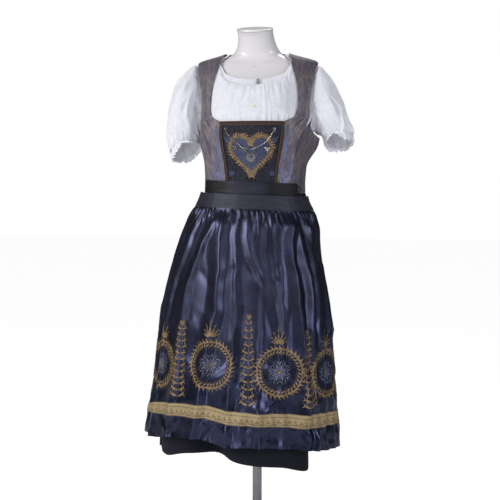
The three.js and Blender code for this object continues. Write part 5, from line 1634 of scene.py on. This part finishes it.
def leaf_mesh(lump, put, base, tip, wide, curl=0.0, thick=0.35, crown=0.35, n=5, blunt=0.5):
    """An almond leaf from base to tip (flat x, y in mm), laid on a surface by put(x, y, lift)."""
    base, tip = np.asarray(base, float), np.asarray(tip, float)
    d = tip - base
    side = np.array([-d[1], d[0]])
    t = np.linspace(0, 1, n + 1)
    mid = base + np.outer(t, d) + np.outer(curl * np.sin(np.pi * t), side)
    w = wide * np.sin(np.pi * np.clip(t, 0.02, 1) ** blunt) if blunt != 1 else wide * np.sin(np.pi * t)
    w[0], w[-1] = 0.12 * wide, 0.02 * wide
    s = side / max(np.linalg.norm(side), 1e-6)
    L, R = mid + np.outer(w, s), mid - np.outer(w, s)
    top = np.full(n + 1, thick)
    V = np.concatenate([
        put(L[:, 0], L[:, 1], top), put(mid[:, 0], mid[:, 1], top + crown), put(R[:, 0], R[:, 1], top),
        put(L[:, 0], L[:, 1], top * 0.2), put(R[:, 0], R[:, 1], top * 0.2),
    ])
    m = n + 1
    F = []
    for k in range(n):
        F += [(k, k + 1, m + k + 1, m + k), (m + k, m + k + 1, 2 * m + k + 1, 2 * m + k)]
        F += [(3 * m + k, 3 * m + k + 1, k + 1, k), (2 * m + k, 2 * m + k + 1, 4 * m + k + 1, 4 * m + k)]
        F += [(4 * m + k, 4 * m + k + 1, 3 * m + k + 1, 3 * m + k)]
    F += [(0, m, 2 * m, 4 * m), (0, 4 * m, 3 * m, 3 * m)]
    e = n
    F += [(4 * m + e, 2 * m + e, m + e, e), (3 * m + e, 4 * m + e, e, e)]
    lump.add(V, F)


def polar(c, r, a):
    return (c[0] + r * math.cos(a), c[1] + r * math.sin(a))


def wreath(gold, blue, grey, put, r=65.0, leaves=36, seed=0):
    """Two rows of laurel leaves on a ring, a bead ring and an eight-petal rosette: all plain traditional forms."""
    rng = np.random.default_rng(seed)
    for k in range(leaves):
        a = 2 * math.pi * k / leaves
        turn = 2 * math.pi / leaves
        for row, (ri, ro, lean) in enumerate(((r - 2, r + 14, 1.0), (r - 3, r - 12, 0.95), (r + 1, r + 8, 1.25))):
            leaf_mesh(gold, put, polar((0, 0), ri, a + row * turn / 3), polar((0, 0), ro, a + turn * (lean + row / 3) + rng.uniform(-0.03, 0.03)), (3.3, 3.0, 2.4)[row], 0.12, n=4)
        leaf_mesh(gold, put, polar((0, 0), r - 15, a), polar((0, 0), r - 15, a + turn * 0.8), 0.9, 0, n=2)
        leaf_mesh(gold, put, polar((0, 0), r, a), polar((0, 0), r, a + turn * 0.95), 2.3, 0.03, n=3)
    for k in range(8):
        a = math.pi * k / 4
        leaf_mesh(blue, put, polar((0, 0), 6, a), polar((0, 0), 24, a), 4.6, 0, n=5, blunt=0.8)
        leaf_mesh(grey, put, polar((0, 0), 9, a + math.pi / 8), polar((0, 0), 30, a + math.pi / 8), 1.5, 0, n=4)
        for s in (-1, 1):
            leaf_mesh(grey, put, polar((0, 0), 24, a), polar((0, 0), 35, a + s * 0.2), 1.5, 0.2 * s, n=3)
            leaf_mesh(blue, put, polar((0, 0), 29, a + math.pi / 8), polar((0, 0), 38, a + math.pi / 8 + s * 0.13), 1.6, 0, n=3)
        leaf_mesh(grey, put, polar((0, 0), 4, a), polar((0, 0), 15, a), 1.6, 0, thick=0.8, n=3)
    for k in range(8):
        leaf_mesh(gold, put, polar((0, 0), 0.2, math.pi * k / 4), polar((0, 0), 5.5, math.pi * k / 4), 2.1, 0, thick=0.8, n=2)


def sprig(gold, blue, put, low, high, seed=0, pairs=9):
    """An upright stem with paired leaves and a bud."""
    rng = np.random.default_rng(seed)
    steps = 12
    y = np.linspace(low, high, steps + 1)
    for a, b in zip(y[:-1], y[1:]):
        leaf_mesh(gold, put, (1.6 * math.sin(a * 0.05), a), (1.6 * math.sin(b * 0.05), b + 2), 1.0, 0, n=2)
    for k in range(pairs):
        h = low + (high - low) * (k + 0.4) / pairs
        size = 30 * (1 - 0.5 * k / pairs) * rng.uniform(0.85, 1.12)
        for sx in (-1, 1):
            leaf_mesh(gold, put, (sx * 1.0, h), (sx * size * 0.86, h + size * 0.62), 3.6 * (1 - 0.3 * k / pairs), -0.12 * sx, n=4)
            leaf_mesh(gold, put, (sx * size * 0.4, h + size * 0.24), (sx * size * 0.95, h + size * 0.12), 2.4, 0.15 * sx, n=3)
            leaf_mesh(gold, put, (sx * size * 0.5, h + size * 0.4), (sx * size * 0.62, h + size * 0.86), 1.9, 0.15 * sx, n=3)
            if k % 2 == 0:
                leaf_mesh(blue, put, (sx * 1.6, h + 5), (sx * size * 0.4, h + 5 + size * 0.7), 2.2, 0.1 * sx, n=3)
    for a in (-0.6, -0.3, 0, 0.3, 0.6):
        leaf_mesh(gold, put, (0, high), (17 * math.sin(a), high + 17 * math.cos(a)), 2.6, 0, n=3)


def build_apron_ornament(P, deg, z):
    cloth = Cloth(P, deg, z)
    gold, blue, grey = Lump(), Lump(), Lump()

    def putter(deg0, z0):
        mm_per_deg = float(arc_of(APRON, np.array(float(deg0)), np.array(float(z0)))) * 1.05

        def put(x, y, lift):
            x, y, lift = np.broadcast_arrays(np.asarray(x, float), np.asarray(y, float), np.asarray(lift, float))
            return cloth.at(np.clip(deg0 + x / mm_per_deg, -97.5, 97.5), z0 + y, 0.25 + lift)

        return put

    for k, d in enumerate((-66, -22, 22, 66)):
        wreath(gold, blue, grey, putter(d, float(curve(LEVELS, "trim", d)) + 116), seed=k)
    for k, d in enumerate((-88, -44, 0, 44, 88)):
        base = float(curve(LEVELS, "trim", d))
        sprig(gold, blue, putter(d, base), 12, 226 if k % 2 else 262, seed=20 + k, pairs=12)
    # small scattered buds above the wreaths
    for k, (d, h) in enumerate(((-66, 206), (-22, 210), (22, 207), (66, 205))):
        put = putter(d, float(curve(LEVELS, "trim", d)) + h)
        for a in range(7):
            b = math.pi / 2 + (a - 3) * 0.42
            leaf_mesh(gold, put, (0, -10), polar((0, -10), 34 - 4 * abs(a - 3), b), 3.0, 0.05 * (a - 3), n=4)
            leaf_mesh(gold, put, polar((0, -10), 30 - 4 * abs(a - 3), b), polar((0, -10), 46 - 7 * abs(a - 3), b + 0.05 * (a - 3)), 1.6, 0, n=3)
    for lump, name, slot in ((gold, "gold_print", "gold_trim"), (blue, "blue_print", "apron_taffeta"), (grey, "grey_print", "apron_taffeta")):
        dress(lump.object("apron_" + name, 60), name, slot)


def build_stomacher_ornament():
    gold, blue, grey = Lump(), Lump(), Lump()
    x0, z0 = -4.0, 1113.0

    def put(x, y, lift):
        x, y, lift = np.broadcast_arrays(np.asarray(x, float), np.asarray(y, float), np.asarray(lift, float))
        z = z0 + y
        a = curve(BODY, "a", z)
        n = curve(BODY, "n", z)
        dx = x0 + x - curve(CENTRE, "x", z)
        ang = np.sign(dx) * np.arcsin(np.clip((np.abs(dx) / a) ** (n / 2), 0, 1))
        return on_body(ang, z, 1.9 + lift)

    # blue field: a domed heart-shaped patch of rings
    t = np.linspace(0, 2 * np.pi, 97)[:-1]
    o = heart_outline(t) * np.array([57, 62])
    V, F = [], []
    rings = [1.0, 0.96, 0.8, 0.6, 0.4, 0.2]
    for f in rings:
        V.append(put(o[:, 0] * f, o[:, 1] * f - 2, np.full(len(o), 0.1 if f == 1 else 0.35)))
    V.append(put(np.array([0.0]), np.array([-2.0]), np.array([0.35])))
    n = len(o)
    for j in range(len(rings) - 1):
        F += [(j * n + i, (j + 1) * n + i, (j + 1) * n + (i + 1) % n, j * n + (i + 1) % n) for i in range(n)]
    F += [((len(rings) - 1) * n + i, len(rings) * n, (len(rings) - 1) * n + (i + 1) % n) for i in range(n)]
    V.append(put(o[:, 0] * 0.99, o[:, 1] * 0.99 - 2, np.full(n, -0.15)))
    V.append(put(np.array([0.0]), np.array([-2.0]), np.array([-0.15])))
    b0 = len(rings) * n + 1
    F += [(i, (i + 1) % n, b0 + (i + 1) % n, b0 + i) for i in range(n)]
    F += [(b0 + n, b0 + i, b0 + (i + 1) % n) for i in range(n)]
    blue.add(np.concatenate(V), F)
    # garland of leaves round it
    ts = np.linspace(0, 2 * np.pi, 65)[:-1]
    line = heart_outline(ts) * np.array([65, 69]) + np.array([0, -2])
    nxt = np.roll(line, -1, 0)
    for k, (a, b) in enumerate(zip(line, nxt)):
        d = (b - a) / max(np.linalg.norm(b - a), 1e-6)
        out = np.array([-d[1], d[0]])
        leaf_mesh(gold, put, a, b + d * 2, 2.6, 0, n=3)
        leaf_mesh(gold, put, a, a + d * 8 + out * (9 + 2.5 * math.sin(k * 1.7)), 2.6, 0.12, n=4)
        leaf_mesh(gold, put, a, a + d * 8 - out * 8, 2.3, -0.12, n=4)
        leaf_mesh(gold, put, a - out * 3.5, b - out * 3.5, 1.2, 0, n=2)
    # rosette and scrolls inside
    for k in range(8):
        a = math.pi * k / 4
        leaf_mesh(grey, put, polar((0, -6), 2, a), polar((0, -6), 15, a), 3.2, 0, thick=0.8, n=4, blunt=0.8)
        leaf_mesh(gold, put, polar((0, -6), 6, a + math.pi / 8), polar((0, -6), 19, a + math.pi / 8), 1.3, 0, thick=0.8, n=3)
    for sx in (-1, 1):
        for (cx, cy, r0, turns, st) in ((27, 17, 10, 1.4, 0.2), (30, -9, 9, 1.3, 2.4), (17, -30, 8, 1.3, 3.6), (10, 25, 7, 1.2, 1.0), (14, 6, 6, 1.2, 2.0), (7, -46, 5, 1.2, 1.2)):
            tt = np.linspace(0, 1, 26)
            rr = r0 * (1 - 0.8 * tt)
            aa = st + turns * 2 * np.pi * tt
            px, py = sx * (cx + rr * np.cos(aa)), cy + rr * np.sin(aa)
            for q in range(0, 25, 2):
                leaf_mesh(grey, put, (px[q], py[q]), (px[min(q + 2, 25)], py[min(q + 2, 25)]), 0.9, 0, thick=0.7, n=2)
    # blue leaf tufts in the upper corners and beside the point
    for sx in (-1, 1):
        for bx, by, size in ((66, 42, 26), (58, -52, 20)):
            for q in (-0.5, 0.0, 0.5):
                leaf_mesh(blue, put, (sx * bx, by - 8), (sx * (bx + size * math.sin(q)), by - 8 + size * math.cos(q)), 4.2, 0, n=4)
    for lump, name, slot in ((gold, "gold_print", "gold_trim"), (blue, "blue_print", "stomacher_jacquard"), (grey, "grey_print", "stomacher_jacquard")):
        dress(lump.object("stomacher_" + name, 60), name, slot)


# ---------- light and floor ----------
def area_light(name, at, target, size, power_w, color=(1, 1, 1)):
    data = bpy.data.lights.new(name, "AREA")
    data.shape, data.size, data.size_y = "RECTANGLE", size[0], size[1]
    data.energy, data.color = power_w, color
    ob = bpy.data.objects.new(name, data)
    bpy.context.scene.collection.objects.link(ob)
    ob.location = at
    ob.rotation_euler = (Vector(target) - Vector(at)).to_track_quat("-Z", "Y").to_euler()


def build_stage():
    me = bpy.data.meshes.new("floor")
    s = 14
    me.from_pydata([(-s, -s, 0), (s, -s, 0), (s, s, 0), (-s, s, 0)], [], [(0, 1, 2, 3)])
    floor = bpy.data.objects.new("floor", me)
    bpy.context.scene.collection.objects.link(floor)
    floor.data.materials.append(mat_floor())
    world = bpy.data.worlds.new("studio")
    bpy.context.scene.world = world
    world.use_nodes = True
    t = world.node_tree
    t.nodes.clear()
    out = t.nodes.new("ShaderNodeOutputWorld")
    seen, dim = t.nodes.new("ShaderNodeBackground"), t.nodes.new("ShaderNodeBackground")
    seen.inputs[0].default_value, seen.inputs[1].default_value = (1, 1, 1, 1), 1.0
    dim.inputs[0].default_value, dim.inputs[1].default_value = (0.92, 0.94, 1.0, 1), 0.085
    path, m = t.nodes.new("ShaderNodeLightPath"), t.nodes.new("ShaderNodeMixShader")
    t.links.new(path.outputs["Is Camera Ray"], m.inputs[0])
    t.links.new(dim.outputs[0], m.inputs[1])
    t.links.new(seen.outputs[0], m.inputs[2])
    t.links.new(m.outputs[0], out.inputs[0])
    area_light("key", (-2.6, -2.3, 2.3), (0, 0, 1.0), (1.0, 1.8), 106, (1, 0.985, 0.97))
    area_light("fill", (2.6, -1.9, 1.6), (0, 0, 0.9), (0.7, 1.6), 37, (0.94, 0.96, 1))
    area_light("kicker", (1.15, -3.0, 2.2), (0, 0, 0.75), (0.16, 1.2), 11, (0.95, 0.97, 1))
    area_light("low strip", (-0.7, -3.0, 0.5), (0, 0, 0.45), (0.16, 0.9), 12, (0.95, 0.97, 1))
    area_light("top", (0.2, 1.2, 3.2), (0, 0, 1.2), (1.6, 1.0), 34)
    bpy.context.scene.view_settings.view_transform = "Standard"


build_stand()
build_form()
build_skirt()
apron = build_apron()
build_bands()
build_bodice()
build_stomacher()
build_blouse()
build_sleeves()
build_fastenings()
build_apron_ornament(*apron)
build_stomacher_ornament()
build_stage()
